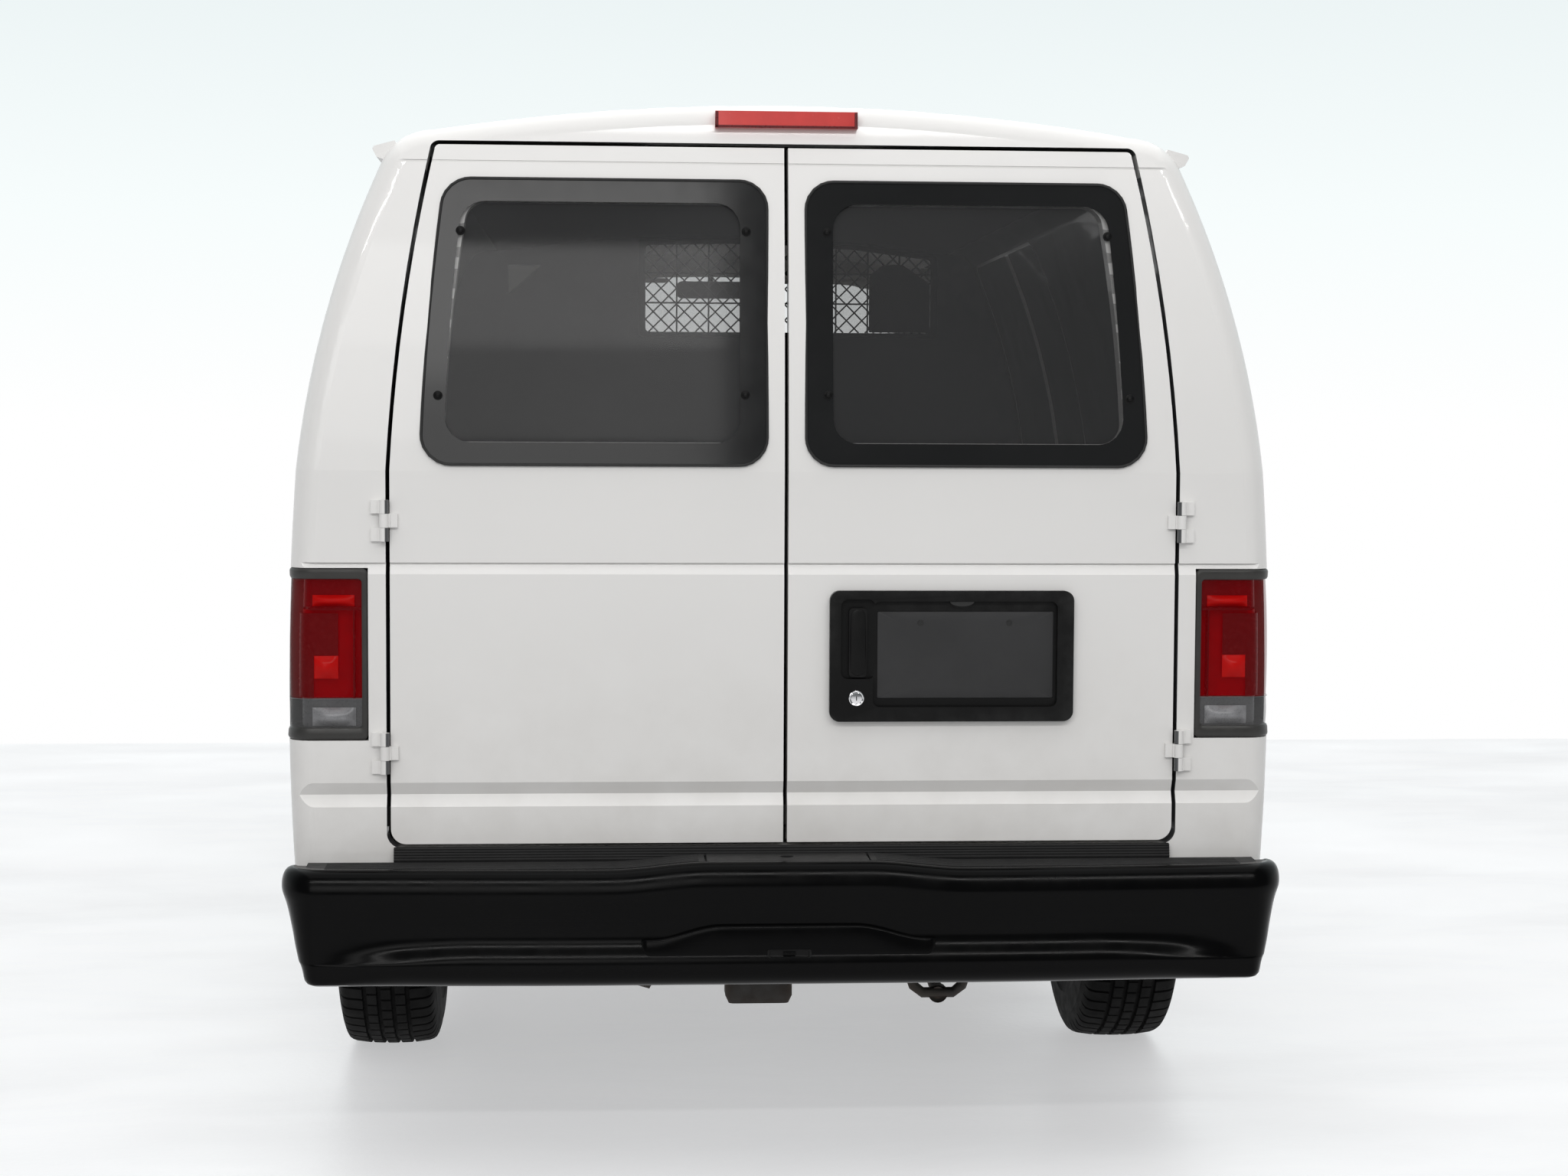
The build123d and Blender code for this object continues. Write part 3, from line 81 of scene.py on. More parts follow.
# ---- materials
class Graph:
    """Wires the nodes of one material or world."""

    def __init__(self, owner):
        owner.use_nodes = True
        self.owner, self.tree = owner, owner.node_tree
        self.tree.nodes.clear()
        self.coords = self.node("ShaderNodeTexCoord")

    def feed(self, node, inputs):
        """Set each input, or link it where its value is another node's output."""
        for key, value in inputs.items():
            if isinstance(value, bpy.types.NodeSocket):
                self.tree.links.new(value, node.inputs[key])
            else:
                node.inputs[key].default_value = value
        return node

    def node(self, kind, inputs=None, **settings):
        made = self.tree.nodes.new(kind)
        for key, value in settings.items():
            setattr(made, key, value)
        return self.feed(made, inputs or {})

    def noise(self, scale, detail=4.0, rough=0.55, stretch=None, distortion=0.0):
        source = self.coords.outputs["Object"]
        if stretch:
            source = self.node("ShaderNodeMapping", {"Scale": stretch, "Vector": source}).outputs[0]
        return self.node("ShaderNodeTexNoise", {"Scale": scale, "Detail": detail, "Roughness": rough,
                                                "Distortion": distortion, "Vector": source}).outputs["Fac"]

    def remap(self, value, low, high, to_low, to_high, curve="LINEAR"):
        return self.node("ShaderNodeMapRange", {"Value": value, "From Min": low, "From Max": high,
            "To Min": to_low, "To Max": to_high}, interpolation_type=curve).outputs[0]

    def mix(self, factor, first, second):
        first, second = ((*c[:3], 1.0) if isinstance(c, tuple) else c for c in (first, second))
        return self.node("ShaderNodeMix", {0: factor, 6: first, 7: second}, data_type="RGBA").outputs[2]

    def maths(self, kind, first, second):
        return self.node("ShaderNodeMath", {0: first, 1: second}, operation=kind).outputs[0]

    def axis(self, letter, output="Object"):
        return self.node("ShaderNodeSeparateXYZ",
            {0: self.coords.outputs[output]}).outputs["XYZ".index(letter)]

    def bump(self, height, distance):
        return self.node("ShaderNodeBump", {"Distance": distance, "Strength": 1.0,
            "Height": height}).outputs[0]

    def ramp(self, value, *stops):
        """Colour ramp; each stop is (position, colour)."""
        made = self.node("ShaderNodeValToRGB", {0: value})
        elements = made.color_ramp.elements
        for element, (position, color) in zip(elements, (stops[0], stops[-1])):
            element.position, element.color = position, (*color, 1.0)
        for position, color in stops[1:-1]:
            elements.new(position).color = (*color, 1.0)
        return made.outputs[0]

    def looked_at(self):
        """1 for the rays that show the backdrop: from the camera, through glass and off gloss."""
        rays = self.node("ShaderNodeLightPath").outputs
        direct = self.maths("MAXIMUM", rays["Is Camera Ray"], rays["Is Transmission Ray"])
        return self.maths("MAXIMUM", direct, rays["Is Glossy Ray"])


def principled(name):
    """Graph of a new material with its shader and output."""
    g = Graph(bpy.data.materials.new(name))
    g.shader = g.node("ShaderNodeBsdfPrincipled")
    g.out = g.node("ShaderNodeOutputMaterial", {0: g.shader.outputs[0]})
    return g


def shade(color, by):
    """A colour made lighter or darker by a factor."""
    return tuple(min(1.0, max(0.0, c * by)) for c in color[:3])


def surface(name, color, rough=0.5, metal=0.0, coat=0.0, patch=0.06, patch_scale=2.0, spread=0.06, grain=None,
            dust=None, wear=None, inside=None, sheen=0.0, spec=0.5):
    """Principled finish with mottled colour, uneven gloss, fine bump, settled dust and worn edges.

    grain is (scale, depth in metres); dust is (colour, low z, high z, amount); wear is (colour, amount);
    inside is (colour, function of the graph giving a mask).
    """
    g = principled(name)
    g.feed(g.shader, {"Metallic": metal, "Specular IOR Level": spec, "Coat Weight": coat,
        "Coat Roughness": 0.05, "Sheen Weight": sheen})
    mottle = g.remap(g.noise(patch_scale), 0.3, 0.7, 0.0, 1.0)
    base = g.mix(mottle, shade(color, 1 - patch), shade(color, 1 + patch))
    gloss = g.remap(g.noise(patch_scale * 6, 3.0), 0.3, 0.7, max(0.02, rough - spread),
        min(1.0, rough + spread))
    if wear:
        edge = g.remap(g.node("ShaderNodeNewGeometry").outputs["Pointiness"], 0.52, 0.62, 0.0, wear[1])
        base = g.mix(g.maths("MULTIPLY", edge, g.remap(g.noise(30.0), 0.35, 0.65, 0.2, 1.0)), base, wear[0])
    if dust:
        dust_color, low, high, amount = dust
        height = g.remap(g.axis("Z"), low, high, amount, 0.0, "SMOOTHSTEP")
        patchy = g.maths("MULTIPLY", height, g.remap(g.noise(7.0, 6.0), 0.35, 0.7, 0.25, 1.0))
        base = g.mix(patchy, base, dust_color)
        gloss = g.maths("ADD", gloss, g.maths("MULTIPLY", patchy, 0.35))
    if inside:
        base = g.mix(inside[1](g), base, inside[0])
    g.feed(g.shader, {"Base Color": base, "Roughness": gloss})
    if grain:
        g.feed(g.shader, {"Normal": g.bump(g.noise(grain[0], 3.0), grain[1])})
    return g.owner


PAINT = (0.795, 0.787, 0.774)
# Dark colour for the body's inner faces: painted shade of the unlit cargo box and cab.
INSIDE_SHADE = (0.05, 0.052, 0.055)
ROAD_DUST = (0.4, 0.37, 0.33)


def paint(name, inside=None):
    """White body paint with road dust low down; inside gives its inner faces another colour, such as painted
    shade.
    """
    return surface(name, PAINT, rough=0.34, coat=0.4, patch=0.012, patch_scale=1.2, spread=0.04,
                   grain=(900.0, 0.00002), dust=(ROAD_DUST, 0.45, 1.2, 0.34), inside=inside)


def inwards(g):
    """Mask of the faces of a side that look towards the van's middle."""
    normal = g.maths("MULTIPLY", g.axis("X", "Normal"), g.maths("SIGN", g.axis("X"), 0.0))
    return g.remap(normal, -0.35, -0.15, 1.0, 0.0)


def toward_cabin(g):
    """The rear doors' inner faces look forward, so their normals point to +Y."""
    return g.remap(g.axis("Y", "Normal"), 0.15, 0.35, 0.0, 1.0)


def under(g):
    """Mask of the faces that look down."""
    return g.remap(g.axis("Z", "Normal"), -0.35, -0.15, 1.0, 0.0)


body_paint = paint("body_paint")
# Sides, rear doors and roof are painted dark where they face inwards or down: painted shade.
side_paint = paint("side_paint", (INSIDE_SHADE, inwards))
door_paint = paint("door_paint", (INSIDE_SHADE, toward_cabin))
roof_paint = paint("roof_paint", (INSIDE_SHADE, under))

black_plastic = surface("black_plastic", (0.005, 0.005, 0.005), rough=0.38, patch=0.15, patch_scale=6,
    spread=0.08, grain=(700.0, 0.0001), wear=((0.04, 0.04, 0.04), 0.4), spec=0.14)
bumper_plastic = surface("bumper_plastic", (0.002, 0.002, 0.0021), rough=0.19, patch=0.18, patch_scale=3,
                         spread=0.05, grain=(520.0, 0.00002), spec=0.08)
rubber = surface("rubber", (0.01, 0.01, 0.01), rough=0.62, patch=0.2, patch_scale=8, grain=(300.0, 0.0001))
frame_steel = surface("frame_steel", (0.008, 0.008, 0.008), rough=0.62, patch=0.35, patch_scale=5,
    spread=0.12, grain=(90.0, 0.0006), dust=((0.1, 0.085, 0.07), 0.2, 0.9, 0.55),
    wear=((0.1, 0.055, 0.03), 0.5))
galvanised = surface("galvanised", (0.3, 0.29, 0.28), rough=0.45, metal=0.85, patch=0.25, patch_scale=7,
                     spread=0.15, grain=(60.0, 0.0003), dust=((0.16, 0.12, 0.09), 0.2, 0.7, 0.6))
grey_steel = surface("grey_steel", (0.06, 0.062, 0.066), rough=0.5, patch=0.1, patch_scale=5,
                     grain=(400.0, 0.0001), wear=((0.2, 0.2, 0.2), 0.4))
cast_iron = surface("cast_iron", (0.13, 0.125, 0.12), rough=0.7, metal=0.6, patch=0.3, patch_scale=9,
                    grain=(160.0, 0.0006), wear=((0.22, 0.2, 0.18), 0.4))
chrome = surface("chrome", (0.72, 0.72, 0.73), rough=0.12, metal=1.0, patch=0.03, patch_scale=20, spread=0.03)
bright_steel = surface("bright_steel", (0.42, 0.42, 0.43), rough=0.32, metal=1.0, patch=0.1, patch_scale=30,
                       grain=(500.0, 0.00005))
wheel_silver = surface("wheel_silver", (0.5, 0.505, 0.51), rough=0.36, metal=0.55, coat=0.3, patch=0.06,
                       patch_scale=6, grain=(600.0, 0.00004), dust=((0.12, 0.1, 0.085), 0.05, 0.55, 0.25))
tyre_rubber = surface("tyre_rubber", (0.0055, 0.0055, 0.0056), rough=0.72, patch=0.2, patch_scale=5,
    spread=0.08, grain=(240.0, 0.00025), dust=((0.03, 0.028, 0.025), 0.0, 0.3, 0.15), spec=0.15)
interior_plastic = surface("interior_plastic", (0.075, 0.074, 0.073), rough=0.6, patch=0.08, patch_scale=4,
                           grain=(520.0, 0.0002))
mat_rubber = surface("mat_rubber", (0.03, 0.03, 0.031), rough=0.68, patch=0.2, patch_scale=3,
                     grain=(200.0, 0.0003), dust=((0.1, 0.09, 0.08), 0.6, 0.75, 0.35))
reflector_red = surface("reflector_red", (0.42, 0.012, 0.01), rough=0.22, metal=0.55, patch=0.2,
    patch_scale=18)
reflector_silver = surface("reflector_silver", (0.62, 0.63, 0.64), rough=0.18, metal=0.95, patch=0.08,
                           patch_scale=25)
bulb_glass = surface("bulb_glass", (0.8, 0.8, 0.78), rough=0.08, coat=1.0, patch=0.05, patch_scale=40)
dial_face = surface("dial_face", (0.7, 0.7, 0.68), rough=0.5, patch=0.04, patch_scale=30)
plate_blank = surface("plate_blank", (0.036, 0.036, 0.037), rough=0.5, patch=0.12, patch_scale=5,
                      grain=(500.0, 0.0001), spec=0.2)


def pane(name, color, alpha, rough=0.04, spec=0.3):
    """Tinted glass that lets light through without bending it, with faint haze and smears."""
    g = principled(name)
    smear = g.remap(g.noise(3.5, 5.0, stretch=(1.0, 1.0, 2.2)), 0.35, 0.75, 0.8, 1.35)
    base = g.mix(g.remap(g.noise(1.4, 2.0), 0.35, 0.7, 0.0, 1.0), shade(color, 0.85), shade(color, 1.15))
    g.feed(g.shader, {"Base Color": base, "Roughness": g.maths("MULTIPLY", smear, rough), "Alpha": alpha,
                      "Specular IOR Level": spec})
    return g.owner


rear_tint = pane("rear_tint", (0.066, 0.066, 0.067), 0.34, 0.06, spec=0.5)
cab_glass = pane("cab_glass", (0.05, 0.055, 0.052), 0.1, spec=0.5)
frit_black = surface("frit_black", (0.011, 0.011, 0.0112), rough=0.09, patch=0.1, patch_scale=4, spread=0.012,
                     spec=0.45)
lens_red = pane("lens_red", (0.26, 0.0, 0.002), 0.4, 0.05, spec=0.08)
lens_clear = pane("lens_clear", (0.13, 0.13, 0.132), 0.4, 0.05, spec=0.25)


# ---- making pieces
class Shape:
    """Collects vertices and faces of one piece."""

    def __init__(self):
        self.verts, self.faces = [], []

    def add(self, verts, faces):
        base = len(self.verts)
        self.verts += [tuple(v) for v in verts]
        self.faces += [tuple(base + i for i in f) for f in faces]
        return self

    def grid(self, rows, close_u=False, close_v=False):
        """Quads over rows of points; close_u joins last row to first, close_v each row's ends."""
        count, width = len(rows), len(rows[0])
        faces = []
        for i in range(count if close_u else count - 1):
            for j in range(width if close_v else width - 1):
                a, b = i * width, ((i + 1) % count) * width
                k = (j + 1) % width
                faces.append((a + j, a + k, b + k, b + j))
        return self.add([p for row in rows for p in row], faces)

    def cap(self, row, flip=False):
        ring = list(range(len(row)))
        return self.add(row, [tuple(reversed(ring)) if flip else tuple(ring)])

    def box(self, low, high):
        xs, ys, zs = zip(low, high)
        verts = [(x, y, z) for x in xs for y in ys for z in zs]
        faces = [(0, 1, 3, 2), (4, 6, 7, 5), (0, 4, 5, 1), (2, 3, 7, 6), (0, 2, 6, 4), (1, 5, 7, 3)]
        return self.add(verts, faces)

    def loft(self, rings):
        """Closed rings joined in order, with both ends capped."""
        return self.grid(rings, close_v=True).cap(rings[0], flip=True).cap(rings[-1])

    def tube(self, points, radius, sides=12):
        """Round bar along a line of points; radius may be a function of the share of its length."""
        points = [Vector(p) for p in points]
        last = len(points) - 1
        rings, across = [], None
        for i, p in enumerate(points):
            along = (points[min(i + 1, last)] - points[max(i - 1, 0)]).normalized()
            if across is None:
                across = along.orthogonal().normalized()
            across = (across - along * across.dot(along)).normalized()
            other = along.cross(across)
            r = radius(i / max(1, last)) if callable(radius) else radius
            rings.append([p + across * (r * math.cos(a)) + other * (r * math.sin(a))
                          for a in (2 * math.pi * k / sides for k in range(sides))])
        return self.loft(rings)

    def lathe(self, profile, centre, axis="X", steps=48):
        """Closed or open (axial, radial) profile turned round an axis through centre."""
        rows, first = [], "XYZ".index(axis)
        for k in range(steps):
            a = 2 * math.pi * k / steps
            row = []
            for along, radial in profile:
                offset = (along, radial * math.cos(a), radial * math.sin(a))
                row.append(tuple(centre[n] + offset[(n - first) % 3] for n in range(3)))
            rows.append(row)
        return self.grid(rows, close_u=True)


def piece(name, shape, material, body, slot, replaces=(), smooth=True, bevel=None, subsurf=0, angle=35):
    """Turn a shape into an object that rides on a body."""
    mesh = bpy.data.meshes.new(name)
    mesh.from_pydata(shape.verts, [], shape.faces)
    bm = bmesh.new()
    bm.from_mesh(mesh)
    bmesh.ops.remove_doubles(bm, verts=bm.verts, dist=1e-5)
    bmesh.ops.dissolve_degenerate(bm, edges=bm.edges, dist=1e-6)
    bmesh.ops.recalc_face_normals(bm, faces=bm.faces)
    bm.to_mesh(mesh)
    bm.free()
    obj = bpy.data.objects.new(name, mesh)
    bpy.context.scene.collection.objects.link(obj)
    mesh.materials.append(material)
    if smooth:
        for polygon in mesh.polygons:
            polygon.use_smooth = True
        mesh.set_sharp_from_angle(angle=math.radians(angle))
    if bevel:
        made = obj.modifiers.new("bevel", "BEVEL")
        made.width, made.segments, made.limit_method = bevel, 3, "ANGLE"
        made.angle_limit = math.radians(40)
        made.harden_normals = True
    if subsurf:
        made = obj.modifiers.new("subsurf", "SUBSURF")
        made.levels = made.render_levels = subsurf
    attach(obj, body)
    if replaces:
        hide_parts(*replaces)
    return obj


def dress(material, *names):
    """Give CAD nodes their finish."""
    for name in names:
        mesh = nodes[name].data
        if not mesh.materials:
            mesh.materials.append(material)
        for k in range(len(mesh.materials)):
            mesh.materials[k] = material


def skin_of(*names):
    """Ray-casting tree over the outer faces of some CAD nodes."""
    verts, faces = [], []
    for name in names:
        mesh = nodes[name].data
        base = len(verts)
        verts += [v.co.copy() for v in mesh.vertices]
        faces += [tuple(base + i for i in p.vertices) for p in mesh.polygons]
    return BVHTree.FromPolygons(verts, faces)


def hit(tree, origin, direction):
    """First point of a skin along a ray, with the normal that looks back along it."""
    direction = Vector(direction).normalized()
    point, normal, _, _ = tree.ray_cast(Vector(origin), direction)
    if point is None:
        return None, None
    return point, -normal if normal.dot(direction) > 0 else normal


def spaced(low, high, count):
    """Evenly spaced numbers from low to high, count steps apart."""
    return [low + (high - low) * k / count for k in range(count + 1)]


def rectangle(x, z, width, height):
    """Corners of a rectangle round its middle."""
    return [(x - width / 2, z - height / 2), (x + width / 2, z - height / 2), (x + width / 2, z + height / 2),
            (x - width / 2, z + height / 2)]


def about(line, centre, scale):
    """Flat outline scaled about a point."""
    return [tuple(c + (v - c) * scale for v, c in zip(point, centre)) for point in line]


def stack(line, centre, levels, flat=False, back=True):
    """One outline scaled about a centre at each (scale, level); levels are y, or z where flat is set."""
    rings = [[(a, b, level) if flat else (a, level, b) for a, b in about(line, centre, scale)]
             for scale, level in levels]
    return Shape().loft(rings) if back else Shape().grid(rings, close_v=True).cap(rings[-1])


def rounded(corners, radius, steps=6):
    """Closed outline through corners with rounded turns; radius is one number or one per corner."""
    out = []
    count = len(corners)
    for i, corner in enumerate(corners):
        r = radius[i] if isinstance(radius, (list, tuple)) else radius
        p = Vector((*corner, 0))
        a = Vector((*corners[i - 1], 0)) - p
        b = Vector((*corners[(i + 1) % count], 0)) - p
        half = a.angle(b) / 2
        cut = min(r / math.tan(half), a.length * 0.49, b.length * 0.49)
        real = cut * math.tan(half)
        start, end = p + a.normalized() * cut, p + b.normalized() * cut
        middle = p + (a.normalized() + b.normalized()).normalized() * (real / math.sin(half))
        va, vb = start - middle, end - middle
        for k in range(steps + 1):
            v = va.lerp(vb, k / steps)
            v = v.normalized() * real if v.length > 1e-9 else va
            out.append(tuple((middle + v)[:2]))
    return out


# ---- finish of the frame's nodes
dress(side_paint, "side_panel_left", "side_panel_right", "side_door_front", "side_door_rear",
    "front_door_left", "front_door_right")
dress(door_paint, "rear_door_left", "rear_door_right")
dress(roof_paint, "roof_panel", "windshield_frame")
dress(body_paint, "hood", "front_fenders", "front_panel")
dress(bumper_plastic, "rear_bumper", "front_bumper")
dress(black_plastic, "rear_handle", "cowl_top", "grille", "mirror_left", "mirror_right", "steering_wheel")
dress(rear_tint, "rear_glass_left", "rear_glass_right")
dress(cab_glass, "front_window_left", "front_window_right", "windshield")
dress(frame_steel, "chassis_frame", "rear_axle", "driveshaft", "fuel_tank", "front_axle_beams",
    "leaf_springs")
dress(cast_iron, "engine", "knuckle_left", "knuckle_right")
dress(galvanised, "exhaust")
dress(interior_plastic, "dashboard", "engine_cover")
dress(grey_steel, "firewall", "partition")
dress(mat_rubber, "floor_pan")
dress(tyre_rubber, *[f"tyre_{w}" for w in WHEELS])
dress(wheel_silver, *[f"rim_{w}" for w in WHEELS], "spare_wheel")
dress(reflector_red, "tail_lamps", "high_stop_lamp")
dress(reflector_silver, "headlamps")
dress(interior_plastic, "seats")


# ---- rear windows
def outline(corners, radius, steps=6, along=8, bow=None):
    """Rounded outline with extra points on its straight runs; bow(x, z) bends points sideways."""
    turns = rounded(corners, radius, steps)
    size = steps + 1
    out = []
    for k in range(len(corners)):
        arc = turns[k * size:(k + 1) * size]
        start, end = arc[-1], turns[((k + 1) * size) % len(turns)]
        out += arc
        out += [tuple(start[n] + (end[n] - start[n]) * j / (along + 1) for n in (0, 1))
            for j in range(1, along + 1)]
    return [bow(*p) for p in out] if bow else out


def between(first, second, share):
    """Outline a share of the way from the first to the second."""
    return [tuple(a[n] + (b[n] - a[n]) * share for n in (0, 1)) for a, b in zip(first, second)]


def window_bow(x, z):
    """The windows' outer sides are slightly bowed."""
    if abs(x) < 0.5:
        return x, z
    share = (z - (GLASS_LOW + GLASS_HIGH) / 2) / ((GLASS_HIGH - GLASS_LOW) / 2)
    return x + math.copysign(0.008 * max(0.0, 1 - share * share), x), z


def window_line(side, margin, radius):
    """Outline of a rear window, drawn in by a margin."""
    corners = [(side * (0.719 - margin), GLASS_LOW + margin), (side * (0.672 - margin), GLASS_HIGH - margin),
               (side * (0.038 + margin), GLASS_HIGH - margin), (side * (0.038 + margin), GLASS_LOW + margin)]
    return outline(corners, radius, bow=window_bow)


SEAL_RADIUS = 0.0028
for name, side in SIDES:
    glass = skin_of(f"rear_glass_{name}")
    flat, slope = hit(glass, (side * 0.35, -4.0, 1.66), (0, 1, 0))

    def glass_y(z):
        """The pane is flat, so its y follows from z."""
        return flat.y - (z - flat.z) * slope.z / slope.y

    def on_glass(x, z, lift):
        """Point raised from the pane."""
        return (x, glass_y(z) - lift, z)

    outer_line = window_line(side, 0.0015, 0.0535)
    inner_line = outline([(side * 0.67, 1.424), (side * 0.636, 1.897), (side * 0.092, 1.897),
        (side * 0.092, 1.424)], 0.048, bow=window_bow)
    lines = [between(outer_line, inner_line, f) for f in (0.0, 0.33, 0.66, 1.0)]
    frit = Shape().grid([[on_glass(x, z, 0.0004) for x, z in line] for line in lines], close_v=True)
    piece(f"window_border_{name}", frit, frit_black, f"rear_door_{name}", "tinted_glass", smooth=False)

    edge = window_line(side, 0.0005, 0.0545)
    rings = []
    for i, (x, z) in enumerate(edge):
        before, after = Vector(edge[i - 1]), Vector(edge[(i + 1) % len(edge)])
        out = Vector((after.y - before.y, before.x - after.x)).normalized()
        if out.dot(Vector((x - side * 0.36, z - 1.66))) < 0:
            out = -out
        ring = []
        for k in range(8):
            a = 2 * math.pi * k / 8
            reach = SEAL_RADIUS * math.cos(a)
            ring.append((x + out.x * reach, glass_y(z) - 0.0015 - SEAL_RADIUS * math.sin(a),
                z + out.y * reach))
        rings.append(ring)
    seal = Shape().grid(rings, close_u=True, close_v=True)
    piece(f"window_seal_{name}", seal, rubber, f"rear_door_{name}", "black_plastic")

    for k, (x, z) in enumerate(((0.641, 1.838), (0.08, 1.841), (0.684, 1.515), (0.082, 1.519))):
        stud = Shape().lathe([(0.0, 0.0092), (-0.0012, 0.0092), (-0.0022, 0.008), (-0.0026, 0.0062),
            (-0.0052, 0.0048), (-0.0064, 0.003), (-0.0068, 0.0001)], on_glass(side * x, z, 0.0005), "Y", 24)
        piece(f"window_stud_{name}_{k}", stud, black_plastic, f"rear_door_{name}", "black_plastic")


# ---- tail lamps
lamp_bezel = surface("lamp_bezel", (0.035, 0.034, 0.032), rough=0.35, patch=0.15, patch_scale=10, spec=0.3,
                     grain=(600.0, 0.00006), wear=((0.1, 0.1, 0.1), 0.4))
cell_red = surface("cell_red", (0.36, 0.0, 0.002), rough=0.3, patch=0.12, patch_scale=30, spec=0.1)
cell_dark = surface("cell_dark", (0.045, 0.001, 0.002), rough=0.25, patch=0.2, patch_scale=25, spec=0.2)
cell_top = surface("cell_top", (0.1, 0.001, 0.003), rough=0.25, patch=0.2, patch_scale=25, spec=0.2)
# Bright red painted highlight where the lamp's reflectors catch the light.
painted_glow_red = surface("painted_glow_red", (1.0, 0.012, 0.008), rough=0.2, patch=0.15, patch_scale=40, spec=0.2)
cell_grey = surface("cell_grey", (0.12, 0.12, 0.123), rough=0.3, metal=0.3, patch=0.15, patch_scale=20)
# Reversing lamp dish: a real reflector, with its bright lozenge painted in as a highlight.
dish_grey_highlight = surface("dish_grey_highlight", (0.46, 0.46, 0.48), rough=0.3, metal=0.2, patch=0.2, patch_scale=45)
CORNER = 0.05


class LampSkin:
    """Outer face of one tail lamp: u runs along it from its inner edge and round the body's corner."""

    def __init__(self, side):
        self.side = side
        tree = skin_of("tail_lamps")
        self.zs = [LAMP_LOW + 0.004 + (LAMP_HIGH - LAMP_LOW - 0.008) * k / 12 for k in range(13)]
        self.xs = []
        for z in self.zs:
            p, _ = hit(tree, (side * 1.4, TAIL_Y + 0.07, z), (-side, 0, 0))
            self.xs.append(side * p.x if p else self.xs[-1])

    def end(self, z):
        return self.width(z) - CORNER - LAMP_IN + CORNER * math.pi / 2 + 0.034

    def width(self, z):
        return float(np.interp(z, self.zs, self.xs))

    def at(self, u, z, depth):
        wide = self.width(z)
        run = wide - CORNER - LAMP_IN
        turn = CORNER * math.pi / 2
        if u < run:
            x, y = LAMP_IN + u, TAIL_Y + depth
        elif u < run + turn:
            a = (u - run) / CORNER
            x = wide - CORNER + (CORNER - depth) * math.sin(a)
            y = TAIL_Y + CORNER - (CORNER - depth) * math.cos(a)
        else:
            x, y = wide - depth, TAIL_Y + CORNER + (u - run - turn)
        return (self.side * x, y, z)

    def patch(self, u0, u1, z0, z1, depth, nu=20, nz=12):
        """Grid over part of the lamp; u1 may be None for its far end."""
        rows = []
        for j in range(nz + 1):
            z = z0 + (z1 - z0) * j / nz
            last = self.end(z) - 0.009 if u1 is None else u1
            row = []
            for i in range(nu + 1):
                u = u0 + (last - u0) * i / nu
                d = depth(i / nu, j / nz) if callable(depth) else depth
                row.append(self.at(u, z, d))
            rows.append(row)
        return Shape().grid(rows)


def dish(deep, rise):
    """Depth of a shallow reflector bowl over its patch."""
    return lambda a, b: deep - rise * (1 - (2 * a - 1) ** 2) * (1 - (2 * b - 1) ** 2)


for name, side in SIDES:
    lamp = LampSkin(side)
    low, high = LAMP_LOW + 0.001, LAMP_HIGH - 0.001
    far_u = lamp.end(1.0) - 0.002
    rim_out = outline([(0.001, low), (far_u, low), (far_u, high), (0.001, high)], 0.01, along=14)
    rim_in = outline([(0.0125, low + 0.024), (far_u - 0.008, low + 0.024), (far_u - 0.008, high - 0.021),
                      (0.0125, high - 0.021)], 0.007, along=14)
    profile = ((0.0, 0.014), (0.0, 0.001), (0.12, -0.0012), (0.25, -0.0022), (0.75, -0.0012), (0.95, 0.001),
               (1.0, 0.004), (1.0, 0.026))
    rows = [[lamp.at(u, z, depth) for u, z in between(rim_out, rim_in, share)] for share, depth in profile]
    piece(f"lamp_bezel_{name}", Shape().grid(rows, close_v=True), lamp_bezel, "body", "black_plastic",
          replaces=("tail_lamps",) if side < 0 else ())
    red_low, red_high = 0.9205, high - 0.0205
    low_edge, joint = low + 0.0235, red_low - 0.0012
    ribs = Shape()
    for u0, u1, z0, z1 in ((0.0265, 0.0295, red_low, 1.096), (0.012, 0.118, 1.094, 1.099)):
        ribs.loft([[lamp.at(u, z, depth) for u, z in ((u0, z0), (u1, z0), (u1, z1), (u0, z1))]
                   for depth in (0.005, 0.028)])
    patch = lamp.patch
    for label, shape, finish, slot in (
        ("red", patch(0.0122, None, red_low, red_high, dish(0.0035, 0.0028), 30, 24), lens_red, "tail_lens"),
        ("clear", patch(0.0122, None, low_edge, joint, dish(0.0035, 0.0022), 30, 8), lens_clear, "tail_lens"),
        ("joint", patch(0.0122, None, joint, red_low, 0.0015, 30, 1), cell_grey, "tail_lens"),
        ("back", patch(0.012, None, red_low, 1.094, 0.026, 24, 10), cell_red, "tail_lens"),
        ("top", patch(0.012, None, 1.099, red_high + 0.001, 0.026, 24, 6), cell_top, "tail_lens"),
        ("cell", patch(0.06, None, 1.004, 1.087, 0.02, 24, 8), cell_dark, "tail_lens"),
        ("side", patch(0.108, None, red_low, 1.004, 0.02, 16, 8), cell_dark, "tail_lens"),
        # The glow and spot patches are painted highlights of the reflectors.
        ("glow", patch(0.06, 0.107, 0.958, 1.003, dish(0.02, 0.01), 14, 12), painted_glow_red, "tail_lens"),
        ("spot", patch(0.028, 0.112, 1.101, 1.123, dish(0.022, 0.012), 20, 10), painted_glow_red, "tail_lens"),
        ("ribs", ribs, cell_dark, "tail_lens"),
        ("reverse_back", patch(0.012, None, low_edge, red_low - 0.001, 0.026, 24, 6), cell_grey, "lamp_lens"),
        # The reversing dish carries a painted highlight.
        ("reverse_dish", patch(0.026, 0.112, low + 0.0255, 0.901, dish(0.022, 0.014), 20, 10), dish_grey_highlight,
         "lamp_lens"),
    ):
        piece(f"lamp_{label}_{name}", shape, finish, "body", slot, smooth=label != "ribs")


